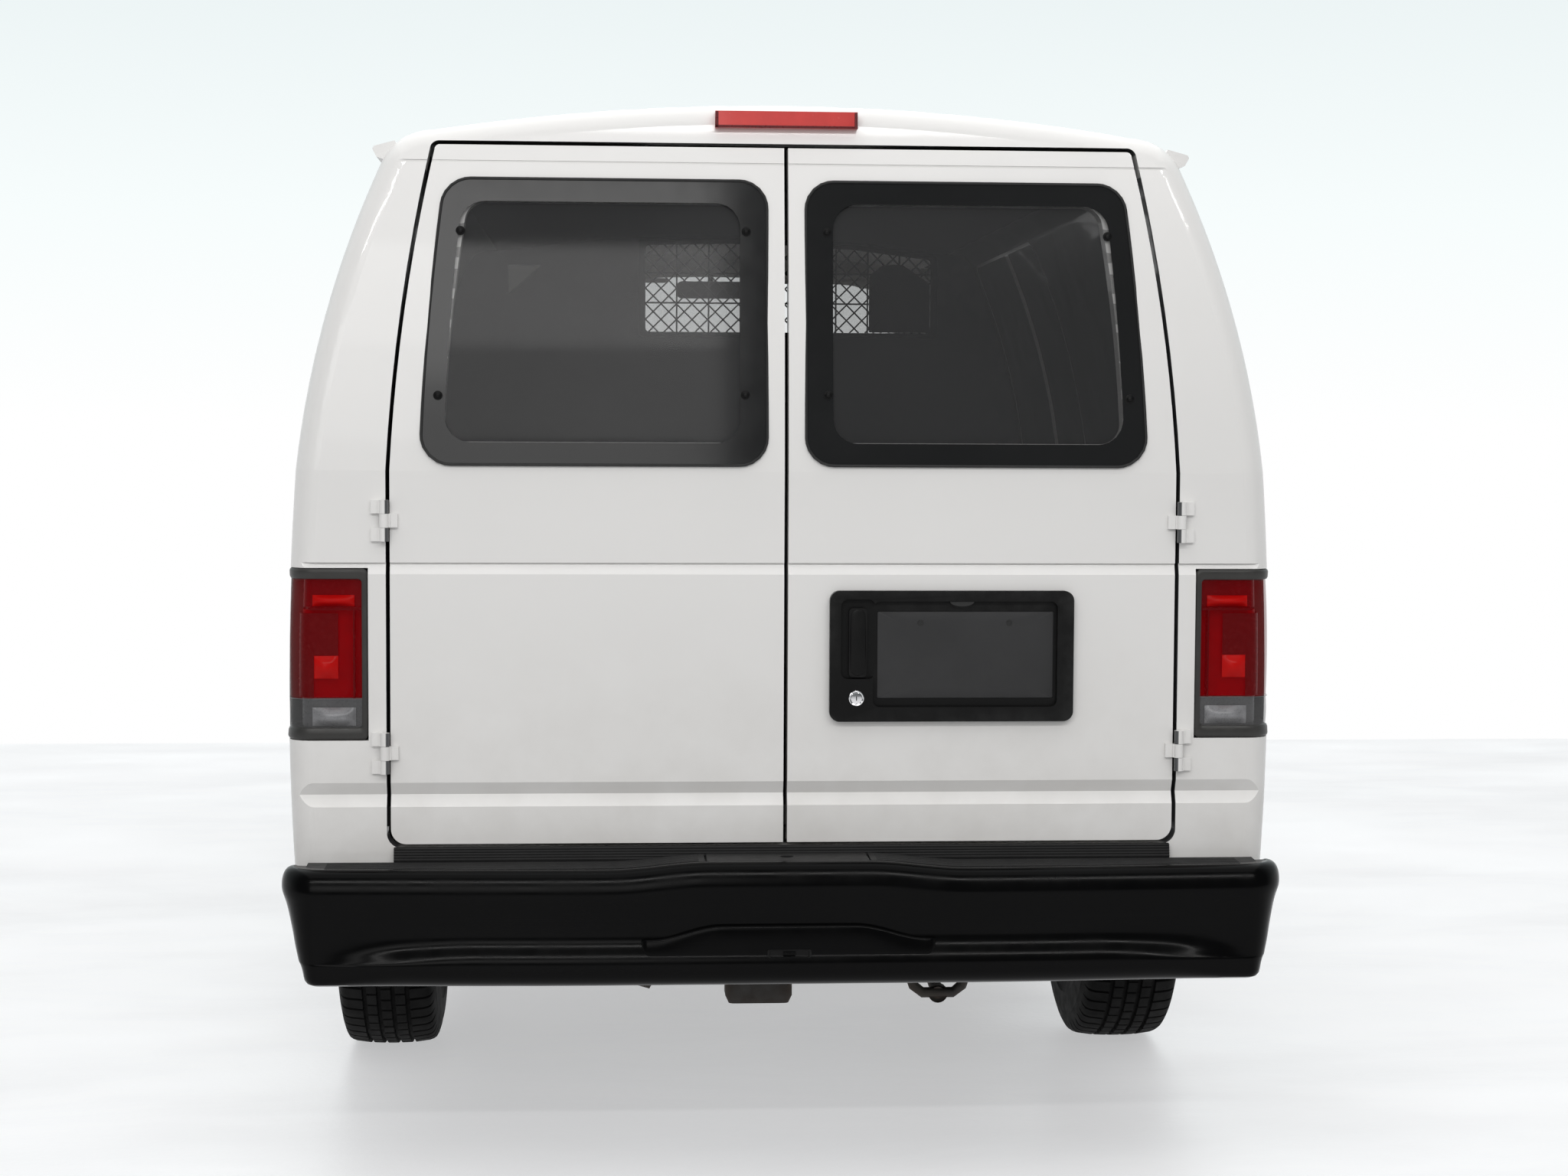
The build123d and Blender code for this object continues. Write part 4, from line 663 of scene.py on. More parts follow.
# ---- high stop lamp
lamp_bar = surface("lamp_bar", (0.6, 0.055, 0.05), rough=0.22, coat=0.4, patch=0.1, patch_scale=14, spec=0.4)
maroon = surface("maroon", (0.11, 0.008, 0.01), rough=0.3, patch=0.15, patch_scale=30, spec=0.3)
dress(lamp_bar, "high_stop_lamp")
stop_low, stop_high = (Vector(c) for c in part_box("high_stop_lamp"))


def stop_ring(x):
    """Closed loop round the lower edge of the lamp's rear face at x."""
    y, z = stop_low.y, stop_low.z
    return [(x, y - 0.0012, z + 0.0004), (x, y - 0.0012, z + 0.005), (x, y + 0.004, z + 0.006),
            (x, y + 0.012, z + 0.0004)]


stop_trim = Shape().loft([stop_ring(x) for x in spaced(stop_low.x, stop_high.x, 12)])
for side in (-1, 1):
    end = stop_high.x if side > 0 else stop_low.x
    stop_trim.box((min(end, end - side * 0.006), stop_low.y - 0.0012, stop_low.z + 0.0004),
                  (max(end, end - side * 0.006), stop_low.y + 0.014, stop_high.z - 0.001))
piece("stop_lamp_trim", stop_trim, maroon, "body", "stop_lens", bevel=0.0008)


# ---- handle and plate recess on the right rear door
recess_y = TAIL_Y - 0.004


plate_line = outline(rectangle(0.357, 1.006, 0.352, 0.172), 0.003, 6, 6)
plate_mid = Vector((sum(p[0] for p in plate_line), sum(p[1] for p in plate_line))) / len(plate_line)
rear_y, front_y, soft = recess_y + 0.001, recess_y - 0.0025, 0.0015
rings = []
for inset, y in ((0.0, rear_y), (0.0, front_y + soft), (soft * 0.3, front_y + soft * 0.3), (soft, front_y)):
    ring = []
    for x, z in plate_line:
        reach = max(0.01, (Vector((x, z)) - plate_mid).length)
        ring.append((x + (plate_mid.x - x) * inset / reach, y, z + (plate_mid.y - z) * inset / reach))
    rings.append(ring)
for share in (0.25, 0.5, 0.75, 0.97):
    rings.append([(x + (plate_mid.x - x) * share, front_y, z + (plate_mid.y - z) * share)
                  for x, z in plate_line])
piece("plate_panel", Shape().loft(rings), plate_blank, "rear_door_right", "black_plastic")
for k, x in enumerate((0.356 - 0.0889, 0.356 + 0.0889)):
    rim = Shape().lathe([(-0.0025, 0.006), (-0.0034, 0.0056), (-0.0034, 0.0037), (-0.0026, 0.0035),
        (-0.0026, 0.0001)], (x, recess_y, 1.07), "Y", 24)
    piece(f"plate_hole_rim_{k}", rim, rubber, "rear_door_right", "black_plastic")
rows = []
for k in range(13):
    a = math.pi * k / 12
    rows.append([(0.349 + 0.024 * math.cos(a), recess_y - 0.001 - 0.009 * t,
                  1.1125 - 0.0155 * math.sin(a) * (1 - 0.4 * t)) for t in (0.0, 0.4, 0.8, 1.0)])
plate_lamp = Shape().grid(rows).cap([row[-1] for row in rows])
piece("plate_lamp", plate_lamp, rubber, "rear_door_right", "black_plastic")

LEVER_X, LEVER_LOW, LEVER_HIGH = 0.142, 0.965, 1.0985
rows = []
for j in range(17):
    t = j / 16
    z = LEVER_LOW + (LEVER_HIGH - LEVER_LOW) * j / 16
    half = 0.0165 * (1 - 0.05 * t) * math.sqrt(max(0.05, 1 - max(0.0, (abs(2 * t - 1) - 0.88) / 0.13) ** 2))
    lift = 0.0108 + 0.0026 * math.sin(math.pi * t)
    section = [(1.0, 0.0095), (0.92, lift - 0.001), (0.5, lift + 0.0012)]
    rows.append([(LEVER_X - half * share, recess_y - out, z) for share, out in section]
                + [(LEVER_X + half * share, recess_y - out, z) for share, out in reversed(section)])
lever = Shape().grid(rows).cap(rows[0]).cap(rows[-1])
piece("door_lever", lever, black_plastic, "rear_door_right", "black_plastic", subsurf=1)

lock = Shape().lathe([(0.004, 0.0158), (-0.0035, 0.0158), (-0.0048, 0.015), (-0.0052, 0.0138),
    (-0.0044, 0.0118), (-0.006, 0.0105), (-0.0066, 0.006), (-0.0066, 0.0001)],
    (0.139, TAIL_Y - 0.0145, 0.921), "Y", 40)
piece("door_lock", lock, chrome, "rear_door_right", "black_plastic")
key_slot = Shape().box((0.138, TAIL_Y - 0.0214, 0.9165), (0.14, TAIL_Y - 0.0208, 0.9255))
piece("door_lock_slot", key_slot, rubber, "rear_door_right", "black_plastic", bevel=0.0003)


# ---- rear bumper
BUMPER_HALF = 0.994
TURN = 0.085                # corner radius in plan
FACE_END = BUMPER_HALF - TURN


def ease(low, high, value):
    """Smooth step from 0 at low to 1 at high."""
    t = min(1.0, max(0.0, (value - low) / (high - low)))
    return t * t * (3 - 2 * t)


def raised(x):
    """How far the middle of the step stands above its ends."""
    return 0.014 * (1 - ease(0.158, 0.347, abs(x)))


def face_y(x):
    """Rearmost y of the bumper's face, which curves forward towards its ends."""
    return BACK_Y + 0.014 * ease(0.345, FACE_END + 0.2, x) * 1.9


def bumper_plan():
    """Columns along half the bumper: x, y and the outward angle, from 0 rearward to a quarter turn."""
    columns = [(x, face_y(x), 0.0) for x in (FACE_END * k / 45 for k in range(46))]
    base_y = columns[-1][1]
    for k in range(1, 15):
        a = math.pi / 2 * k / 14
        columns.append((FACE_END + TURN * math.sin(a), base_y + TURN * (1 - math.cos(a)), a))
    side_start = base_y + TURN
    for k in range(1, 11):
        columns.append((BUMPER_HALF, side_start + (-2.453 - side_start) * k / 10, math.pi / 2))
    return columns


face_profile = (
    (0.1, 0.597), (0.04, 0.597), (0.0355, 0.5985), (0.033, 0.6), (0.025, 0.599), (0.017, 0.5945),
    (0.0108, 0.587), (0.0062, 0.577), (0.0028, 0.566), (0.0, 0.553), (0.0025, 0.54), (0.009, 0.525),
    (0.014, 0.508), (0.016, 0.503), (0.0185, 0.499), (0.0215, 0.485), (0.0235, 0.472), (0.0215, 0.459),
    (0.0165, 0.448), (0.0105, 0.439), (0.0055, 0.429), (0.0025, 0.417), (0.004, 0.404), (0.01, 0.39),
    (0.022, 0.376), (0.045, 0.367), (0.09, 0.365), (0.13, 0.38),
)
side_inset = ((0.35, 0.115), (0.364, 0.102), (0.388, 0.079), (0.425, 0.048), (0.473, 0.027), (0.536, 0.012),
              (0.58, 0.002), (0.6, 0.0))
inset_z, inset_n = zip(*side_inset)


def bumper_point(x, y, angle, n, z):
    """Place of one profile point of a column."""
    hollow = 1 - ease(0.74, 0.93, x)
    lip_drop = -0.012 * ease(0.6, 0.9, x) * (1 if 0.42 < z < 0.47 else 0)
    if z < 0.56 and n < 0.03:
        n = n * hollow + (1 - hollow) * min(n, 0.004)
    corner = ease(0.0, math.pi / 2, angle)
    n += corner * float(np.interp(z, inset_z, inset_n)) * (1 if z < 0.59 else 0)
    lift = raised(x) * ease(0.45, 0.57, z)
    if angle > 0:
        n = min(n, 0.094 if z > 0.55 else 0.14)
    side_drop = 0.031 * ease(-2.628, -2.606, y)
    if z > 0.56:
        z = 0.56 + (z - 0.56) * (1 - side_drop / 0.04 * 0.93)
    out = Vector((math.sin(angle), -math.cos(angle)))
    return Vector((x - out.x * n, y - out.y * n, z + lift + lip_drop))


def bumper_shape():
    """Both halves of the bumper's skin, with their ends turned in."""
    half = bumper_plan()
    columns = []
    for side in (-1, 1):
        for x, y, a in reversed(half[1:]) if side < 0 else half:
            points = [bumper_point(x, y, a, n, z) for n, z in face_profile]
            columns.append([(side * p.x, p.y, p.z) for p in points])
    left, right = ([(x - side * 0.03, y, z) for x, y, z in columns[k]] for side, k in ((-1, 0), (1, -1)))
    return Shape().grid([left, *columns, right])


piece("bumper_skin", bumper_shape(), bumper_plastic, "body", "dark_steel", replaces=("rear_bumper",),
    subsurf=1, angle=60)

pad_plastic = surface("pad_plastic", (0.014, 0.014, 0.0145), rough=0.5, patch=0.12, patch_scale=5, spec=0.2,
                      grain=(380.0, 0.0003), dust=((0.05, 0.048, 0.045), 0.55, 0.7, 0.2))
DOOR_SIDE_Y = TAIL_Y - 0.014
PAD_INSET = 0.038           # from the bumper's face to the step pads


def pad_edge(x):
    """Rear edge of the step pad at x."""
    plain = face_y(x) + PAD_INSET
    if x <= FACE_END - 0.01:
        return plain
    radius = TURN - PAD_INSET
    centre = plain - PAD_INSET + TURN
    reach = min(x - (FACE_END - 0.01), radius * 0.999)
    return centre - math.sqrt(radius * radius - reach * reach)


for name, side in SIDES:
    top, sole = [], []
    for x in spaced(0.163, 0.938, 60):
        edge = min(pad_edge(x), DOOR_SIDE_Y - 0.001)
        height = 0.5992 + raised(x)
        column = [(side * x, edge + (DOOR_SIDE_Y - edge) * t, height - (0.003 if t in (0.0, 1.0) else 0.0)
                   - 0.0025 * (1 - t)) for t in (0.0, 0.04, 0.3, 0.6, 0.96, 1.0)]
        top.append(column)
        sole.append([(p[0], p[1], p[2] - 0.01) for p in column])
    pad = Shape().grid(top)
    for end in (0, -1):
        pad.grid([[c[end] for c in top], [c[end] for c in sole]])
        pad.grid([top[end], sole[end]])
    piece(f"step_pad_{name}", pad, pad_plastic, "body", "dark_steel")
    ribs = Shape()
    for r in range(6):
        y = DOOR_SIDE_Y - 0.016 - r * 0.0125
        last = 0.9 if r < 5 else 0.885
        points = []
        for x in np.linspace(0.175, last, 30):
            slope = 1 - (y - pad_edge(x)) / (DOOR_SIDE_Y - pad_edge(x))
            points.append((side * x, y, 0.5988 + raised(x) - 0.0025 * slope))
        ribs.tube(points, 0.0016, 6)
    piece(f"step_ribs_{name}", ribs, pad_plastic, "body", "dark_steel")

# Ribbed scuff plate between the step and the rear doors.
rows = []
for x in spaced(-0.772, 0.772, 60):
    column = [(x, DOOR_SIDE_Y + 0.002, 0.596 + raised(x))]
    for m in range(5):
        y, z = DOOR_SIDE_Y + 0.001 * m, 0.6 + 0.0052 * m
        column += [(x, y, z + 0.0008), (x, y - 0.0012, z + 0.0018), (x, y - 0.0012, z + 0.0032),
            (x, y, z + 0.0042)]
    column += [(x, TAIL_Y - 0.004, 0.6262), (x, TAIL_Y + 0.001, 0.6264)]
    rows.append(column)
piece("sill_scuff_plate", Shape().grid(rows), pad_plastic, "body", "black_plastic")

# The middle of the step, with the hole for a tow ball.
HOLE_X, HOLE_Y, HOLE_RADIUS = 0.0, -2.657, 0.0132
PAD_TOP = 0.6129
front_line, back_line = BACK_Y + PAD_INSET, DOOR_SIDE_Y
square = outline([(-0.16, front_line), (0.16, front_line), (0.16, back_line), (-0.16, back_line)], 0.006, 6,
    12)
angles = [math.atan2(y - HOLE_Y, x - HOLE_X) for x, y in square]


def hole_ring(radius):
    """Circle round the hole, with a point towards each point of the square."""
    return [(HOLE_X + math.cos(a) * radius, HOLE_Y + math.sin(a) * radius) for a in angles]


rings = [[(x, y, PAD_TOP - drop) for x, y in square] for drop in (0.01, 0.003)]
rings.append([(x * 0.99, y + (HOLE_Y - y) * 0.02, PAD_TOP) for x, y in square])
rings += [[(x, y, PAD_TOP) for x, y in between(square, hole_ring(0.022), share)]
    for share in (0.3, 0.6, 0.85)]
rings += [[(x, y, PAD_TOP - drop) for x, y in hole_ring(radius)] for radius, drop in (
    (0.021, 0.0), (0.0205, 0.0), (0.0145, 0.0002), (HOLE_RADIUS, 0.0012), (HOLE_RADIUS, 0.045))]
piece("step_middle", Shape().grid(rings, close_v=True), pad_plastic, "body", "dark_steel")


# Centre panel low on the face, with a small slot.
def panel_top(x):
    """Upper edge of the centre panel, raised in the middle."""
    return 0.466 + 0.026 * (1 - ease(0.13, 0.27, abs(x)))


rows = []
for k, x in enumerate(spaced(-0.29, 0.29, 58)):
    edge = 0.5 - abs(k / 58 - 0.5)
    tuck = 0.012 * (1 - ease(0.0, 0.012, edge))
    top = panel_top(x)
    rows.append([(x, BACK_Y + n + tuck, z) for n, z in ((0.016, 0.4265), (0.0085, 0.4275), (0.0075, 0.43),
        (0.0082, 0.44), (0.0095, 0.45 + 0.5 * (top - 0.466)), (0.0115, top - 0.008), (0.013, top - 0.003),
        (0.0165, top - 0.0005), (0.026, top + 0.0005))])
piece("bumper_panel", Shape().grid(rows), bumper_plastic, "body", "dark_steel", subsurf=1, angle=60)
SLOT_Z = 0.4365
slot = stack(outline(rectangle(0.0, SLOT_Z, 0.086, 0.0165), 0.004, 4, 4), (0.0, SLOT_Z),
    [(g, BACK_Y + y) for g, y in ((1.0, 0.012), (1.0, 0.0064), (0.975, 0.0056), (0.9, 0.0056),
    (0.88, 0.0075))])
piece("bumper_slot", slot, black_plastic, "body", "dark_steel")
lug = Shape().tube([(-0.012, BACK_Y + 0.0062, 0.4368), (0.012, BACK_Y + 0.0062, 0.4368)], 0.004, 12)
piece("bumper_slot_lug", lug, bumper_plastic, "body", "dark_steel")


# ---- tyres
TYRE_WALL = ((0.0875, 0.2035), (0.093, 0.206), (0.0945, 0.214), (0.099, 0.222), (0.104, 0.24), (0.109, 0.26),
    (0.1108, 0.268), (0.1124, 0.27), (0.1124, 0.276), (0.1119, 0.278), (0.1122, 0.29), (0.1118, 0.305),
    (0.11, 0.32), (0.1102, 0.3215), (0.1085, 0.326), (0.106, 0.34), (0.102, 0.352), (0.098, 0.359),)
GROOVES = (-0.048, -0.016, 0.016, 0.048)
BLOCKS = 66                 # cross cuts round the tyre
# Along one block: the share of it, and whether the outer and the inner ribs are cut there.
BLOCK_STEPS = ((0.0, 0, 0), (0.33, 0, 0), (0.36, 0, 1), (0.44, 0, 1), (0.47, 0, 0), (0.8, 0, 0), (0.83, 1, 0),
    (0.96, 1, 0))


def tread_profile():
    """Points across the tread: x, radius, rib number and whether it lies in a groove."""
    across = [-0.0925, -0.084]
    for g in GROOVES:
        across += [g - 0.0052, g - 0.0036, g + 0.0036, g + 0.0052]
        across += [g + 0.016] if g < 0.04 else []
    profile = []
    for x in across + [0.084, 0.0925]:
        radius = 0.3719 - 0.0052 * (x / 0.09) ** 2 - 0.0035 * max(0.0, abs(x) - 0.078) / 0.014
        in_groove = any(abs(x - g) < 0.0045 for g in GROOVES)
        profile.append((x, radius - (0.0095 if in_groove else 0.0), sum(x > g for g in GROOVES), in_groove))
    return profile


def rib_cut(rib, outer_cut, inner_cut):
    """Depth of the cross cut in a rib."""
    if rib in (0, 4):
        return 0.0075 * outer_cut
    return 0.004 * outer_cut if rib == 2 else 0.0055 * inner_cut


def tyre_shape(cx, cy, cz):
    """Tyre with five ribs, cross cuts in the ribs and shoulders, and ringed sidewalls."""
    tread = tread_profile()
    rows = []
    for block in range(BLOCKS):
        for turn, outer_cut, inner_cut in BLOCK_STEPS:
            a = 2 * math.pi * (block + turn) / BLOCKS
            wall = [(x, r - (0.004 * outer_cut if r > 0.345 else 0.0)) for x, r in TYRE_WALL]
            row = [(-x, r) for x, r in wall]
            row += [(x, r if in_groove else r - rib_cut(rib, outer_cut, inner_cut)) for x, r, rib,
                in_groove in tread]
            row += reversed(wall)
            rows.append([(cx + x, cy + r * math.sin(a), cz - r * math.cos(a)) for x, r in row])
    return Shape().grid(rows, close_u=True)


NUTS, NUT_CIRCLE = 8, 0.086
for wheel, (x, y) in WHEELS.items():
    side = 1 if x > 0 else -1
    piece(f"tread_{wheel}", tyre_shape(x, y, AXLE_Z), tyre_rubber, f"wheel_{wheel}", "tyre",
          replaces=(f"tyre_{wheel}",), angle=28)
    nuts = Shape()
    for k in range(NUTS):
        a = 2 * math.pi * (k + 0.5) / NUTS
        centre = (x + side * 0.062, y + NUT_CIRCLE * math.cos(a), AXLE_Z + NUT_CIRCLE * math.sin(a))
        nuts.lathe([(0.0, 0.0145), (side * 0.003, 0.0145), (side * 0.0032, 0.0115)], centre, "X", 24)
        nuts.lathe([(side * 0.003, 0.0112), (side * 0.017, 0.0112), (side * 0.019, 0.0098),
            (side * 0.0215, 0.006), (side * 0.022, 0.0001)], centre, "X", 6)
    piece(f"wheel_nuts_{wheel}", nuts, bright_steel, f"wheel_{wheel}", "rim_steel", angle=25)
    cap = Shape().lathe([(side * 0.1, 0.046), (side * 0.1045, 0.0455), (side * 0.106, 0.043),
        (side * 0.1062, 0.038), (side * 0.105, 0.036), (side * 0.1064, 0.033), (side * 0.1072, 0.016),
        (side * 0.1074, 0.0001)], (x, y, AXLE_Z), "X", 48)
    piece(f"hub_cap_{wheel}", cap, black_plastic, f"wheel_{wheel}", "black_plastic")
    stem = Shape().tube([(x + side * 0.06, y, AXLE_Z + 0.178), (x + side * 0.085, y, AXLE_Z + 0.172),
                         (x + side * 0.098, y, AXLE_Z + 0.169)], lambda t: 0.0055 if t < 0.6 else 0.0042, 12)
    piece(f"valve_{wheel}", stem, rubber, f"wheel_{wheel}", "black_plastic")


# ---- partition mesh and what shows through it
MESH_Y = 0.3705
window = [(-0.238, 1.746), (0.648, 1.746), (0.648, 1.973), (0.42, 2.001), (0.21, 2.014), (0.0, 2.018),
          (-0.238, 2.012)]


def clip(start, end, shape):
    """Part of a segment inside a convex outline that runs counter-clockwise."""
    t0, t1 = 0.0, 1.0
    d = (end[0] - start[0], end[1] - start[1])
    for (ax, az), (bx, bz) in zip(shape, shape[1:] + shape[:1]):
        nx, nz = -(bz - az), bx - ax
        inside = (start[0] - ax) * nx + (start[1] - az) * nz
        rate = d[0] * nx + d[1] * nz
        if abs(rate) < 1e-12:
            if inside < 0:
                return None
            continue
        t = -inside / rate
        if rate > 0:
            t0 = max(t0, t)
        else:
            t1 = min(t1, t)
    if t1 - t0 < 1e-3:
        return None
    return [(start[0] + d[0] * t, start[1] + d[1] * t) for t in (t0, t1)]


mesh_wire = surface("mesh_wire", (0.016, 0.016, 0.017), rough=0.45, metal=0.2, patch=0.2, patch_scale=30,
    spec=0.3, grain=(300.0, 0.0001))
WIRE_PITCH = 0.048
wires = Shape()
for sign, y in ((1, MESH_Y), (-1, MESH_Y - 0.003)):
    for k in range(-12, 34):
        foot = -0.238 + k * WIRE_PITCH
        line = clip((foot - sign * 0.5, 1.38), (foot + sign * 0.5, 2.38), window)
        if line:
            (xa, za), (xb, zb) = line
            points = [(x, y - 0.0012 * math.sin(math.pi * (x / WIRE_PITCH)), z)
                      for x, z in zip(spaced(xa, xb, 10), spaced(za, zb, 10))]
            wires.tube(points, 0.0025, 6)
piece("partition_mesh", wires, mesh_wire, "body", "grey_steel")
middle = (0.2, 1.88)
frame_rings = []
for grow, y in ((1.0, 0.3735), (1.0, 0.37), (1.004, 0.3688), (1.045, 0.3688), (1.05, 0.37), (1.05, 0.3735)):
    tall = 1 + (grow - 1) * 2.4
    frame_rings.append([(middle[0] + (x - middle[0]) * grow, y, middle[1] + (z - middle[1]) * tall)
                        for x, z in outline(window, 0.012, 4, 6)])
piece("partition_mesh_frame", Shape().grid(frame_rings, close_v=True), mesh_wire, "body", "grey_steel")
arch = [(0.456, 1.748), (0.646, 1.748), (0.646, 1.9), (0.56, 1.958), (0.5, 1.958), (0.456, 1.925)]
arch_shape = stack(outline(arch, [0.004, 0.004, 0.02, 0.03, 0.03, 0.03], 6, 6), (0.55, 1.85), (
    (1.0, 0.3665), (1.0, 0.3635), (0.985, 0.3622), (0.5, 0.3622), (0.1, 0.3622)))
piece("partition_plate", arch_shape, mesh_wire, "body", "grey_steel")

liner_cloth = surface("liner_cloth", (0.6, 0.585, 0.555), rough=0.9, patch=0.04, patch_scale=8, sheen=0.3,
                      grain=(900.0, 0.0003))
# Near-black cloth for the sheet under the cargo roof: painted shade of the closed cargo box.
cargo_shade_cloth = surface("cargo_shade_cloth", (0.03, 0.03, 0.031), rough=0.95, patch=0.12, patch_scale=6, spec=0.04,
                      grain=(700.0, 0.0004))
roof_skin = skin_of("roof_panel", "windshield_frame")


def roof_lining(ys, xs, drop):
    """Sheet that hangs drop(i, j) below the roof's inner face."""
    rows = []
    for j, y in enumerate(ys):
        below = [(x, hit(roof_skin, (x, y, 1.6), (0, 0, 1))[0]) for x in xs]
        rows.append([(x, y, (p.z if p else ROOF_Z) - drop(i, j)) for i, (x, p) in enumerate(below)])
    return Shape().grid(rows)


piece("headliner", roof_lining(spaced(0.405, 1.21, 28), spaced(-0.7, 0.7, 36),
                               lambda i, j: 0.007 + 0.0015 * abs(math.sin(i * math.pi / 6)) ** 6),
      liner_cloth, "body", "seat_cloth")
# Near-black sheet hung under the cargo roof: painted shade, not a real lining.
piece("cargo_shade_sheet", roof_lining(spaced(-2.42, 0.355, 40), spaced(-0.69, 0.69, 36),
                                     lambda i, j: 0.008 - 0.0015 * math.cos(j * math.pi / 2)),
      cargo_shade_cloth, "body", "black_plastic")

pillar_liner = paint("frame_paint", ((0.56, 0.55, 0.52),
    lambda g: g.remap(g.axis("Y", "Normal"), -0.3, -0.1, 1.0, 0.0)))
dress(pillar_liner, "windshield_frame")

for name, side in SIDES:
    line = [(side * x, z) for x, z in ((0.16, 0.0), (0.56, 0.0), (0.58, 0.15), (0.15, 0.15))]
    ring = outline(line if side > 0 else line[::-1], 0.03, 6, 4)
    visor = Shape().loft([[(x, 1.165 - z, 1.972 - lift + 0.1 * (0.075 - z) - 0.02)
                           for x, z in about(ring, (side * 0.36, 0.075), g)] for g, lift in (
        (1.0, 0.004), (1.0, 0.01), (0.97, 0.014), (0.5, 0.016), (0.05, 0.016))])
    piece(f"sun_visor_{name}", visor, liner_cloth, "body", "seat_cloth")

INNER_MIRROR_Z = 1.918
inner_mirror = stack(outline(rectangle(0.0, INNER_MIRROR_Z, 0.245, 0.058), 0.022, 6, 6),
    (0.0, INNER_MIRROR_Z), ((0.93, 1.196), (1.0, 1.2), (1.0, 1.216), (0.9, 1.228), (0.4, 1.234),
    (0.05, 1.235)))
piece("inner_mirror", inner_mirror, black_plastic, "body", "black_plastic")
stalk = Shape().tube([(0, 1.226, 1.925), (0, 1.245, 1.955), (0, 1.262, 1.985)], 0.007, 12)
piece("inner_mirror_stalk", stalk, black_plastic, "body", "black_plastic")


# ---- cargo floor ribs
floor_ribs = Shape()
for x in spaced(-0.63, 0.63, 18):
    floor_ribs.loft([[(x - 0.012, y, 0.7058), (x - 0.009, y, 0.7085), (x + 0.009, y, 0.7085),
        (x + 0.012, y, 0.7058)] for y in np.linspace(-2.45, 0.33, 12)])
piece("cargo_mat_ribs", floor_ribs, mat_rubber, "body", "black_plastic")


# ---- under the rear bumper
socket = stack(outline([(-0.113, -2.505), (0.023, -2.505), (0.023, -2.435), (-0.113, -2.435)], 0.012, 4, 3),
               (-0.045, -2.47), ((0.72, 0.2835), (0.9, 0.285), (1.0, 0.3), (1.0, 0.345), (0.82, 0.352),
                                  (0.8, 0.43)), flat=True)
piece("tow_bracket", socket, frame_steel, "body", "dark_steel")
carrier = Shape()
carrier.tube([(0.262, -2.5, 0.42), (0.262, -2.5, 0.345), (0.272, -2.5, 0.318), (0.29, -2.5, 0.304),
    (0.352, -2.5, 0.304), (0.37, -2.5, 0.318), (0.38, -2.5, 0.345), (0.38, -2.5, 0.42)], 0.011, 12)
carrier.tube([(0.321, -2.505, 0.304), (0.321, -2.4, 0.316), (0.315, -2.2, 0.335), (0.3, -1.95, 0.34)], 0.013,
    12)
carrier.lathe([(-0.004, 0.02), (0.004, 0.02), (0.006, 0.012), (0.014, 0.011), (0.015, 0.0001)],
    (0.321, -2.505, 0.304), "Y", 20)
piece("spare_carrier", carrier, frame_steel, "body", "dark_steel")
hook = Shape().tube([(-0.3, -2.47, 0.42), (-0.3, -2.47, 0.345), (-0.29, -2.47, 0.325), (-0.27, -2.47, 0.318),
    (-0.262, -2.47, 0.335)], 0.008, 10)
piece("pipe_hanger", hook, frame_steel, "body", "dark_steel")


# ---- sides
side_skins = {side: skin_of(f"front_door_{name}", f"side_panel_{name}", "front_fenders",
    *(("side_door_front", "side_door_rear") if side > 0 else ())) for name, side in SIDES}


def on_side(side, y, z):
    """Point of the body's side at y and z."""
    point, _ = hit(side_skins[side], (side * 2.0, y, z), (-side, 0, 0))
    return point


def side_plate(side, y, z, width, height, radius, thick, crown=0.0):
    """Rounded plate laid on the body's side."""
    line = outline(rectangle(y, z, width, height), radius, 6, 5)
    rings = []
    for g, lift in ((1.0, -0.002), (1.0, thick * 0.7), (1 - 0.3 * thick / max(0.01, height), thick),
                    (0.6, thick + crown * 0.64), (0.25, thick + crown * 0.94), (0.02, thick + crown)):
        points = [on_side(side, py, pz) or Vector((side * SIDE_X, py, pz)) for py,
            pz in about(line, (y, z), g)]
        rings.append([(p.x + side * lift, p.y, p.z) for p in points])
    return Shape().grid(rings, close_v=True).cap(rings[-1])


def pull_handle(side, y, z, body, label):
    """Black pull handle over a shallow cup, with a lock ahead of it."""
    piece(f"{label}_cup", side_plate(side, y, z, 0.165, 0.052, 0.02, 0.0022), rubber, body, "black_plastic")
    rows = []
    for k in range(25):
        t = k / 24
        py = y - 0.074 + 0.148 * t
        base = on_side(side, py, z) or Vector((side * SIDE_X, py, z))
        lift = 0.003 + 0.024 * min(1.0, math.sin(math.pi * t) * 2.4)
        rows.append([(base.x + side * (lift + 0.0052 * math.cos(b)), py, z + 0.0125 * math.sin(b))
                     for b in (2 * math.pi * a / 12 for a in range(12))])
    piece(f"{label}_pull", Shape().loft(rows), black_plastic, body, "black_plastic", subsurf=1)
    lock_at = on_side(side, y + 0.115, z)
    if lock_at:
        button = Shape().lathe([(0.0, 0.0105), (side * 0.003, 0.01), (side * 0.0036, 0.0085),
            (side * 0.0028, 0.007), (side * 0.0034, 0.0001)], tuple(lock_at), "X", 24)
        piece(f"{label}_lock", button, chrome, body, "black_plastic")


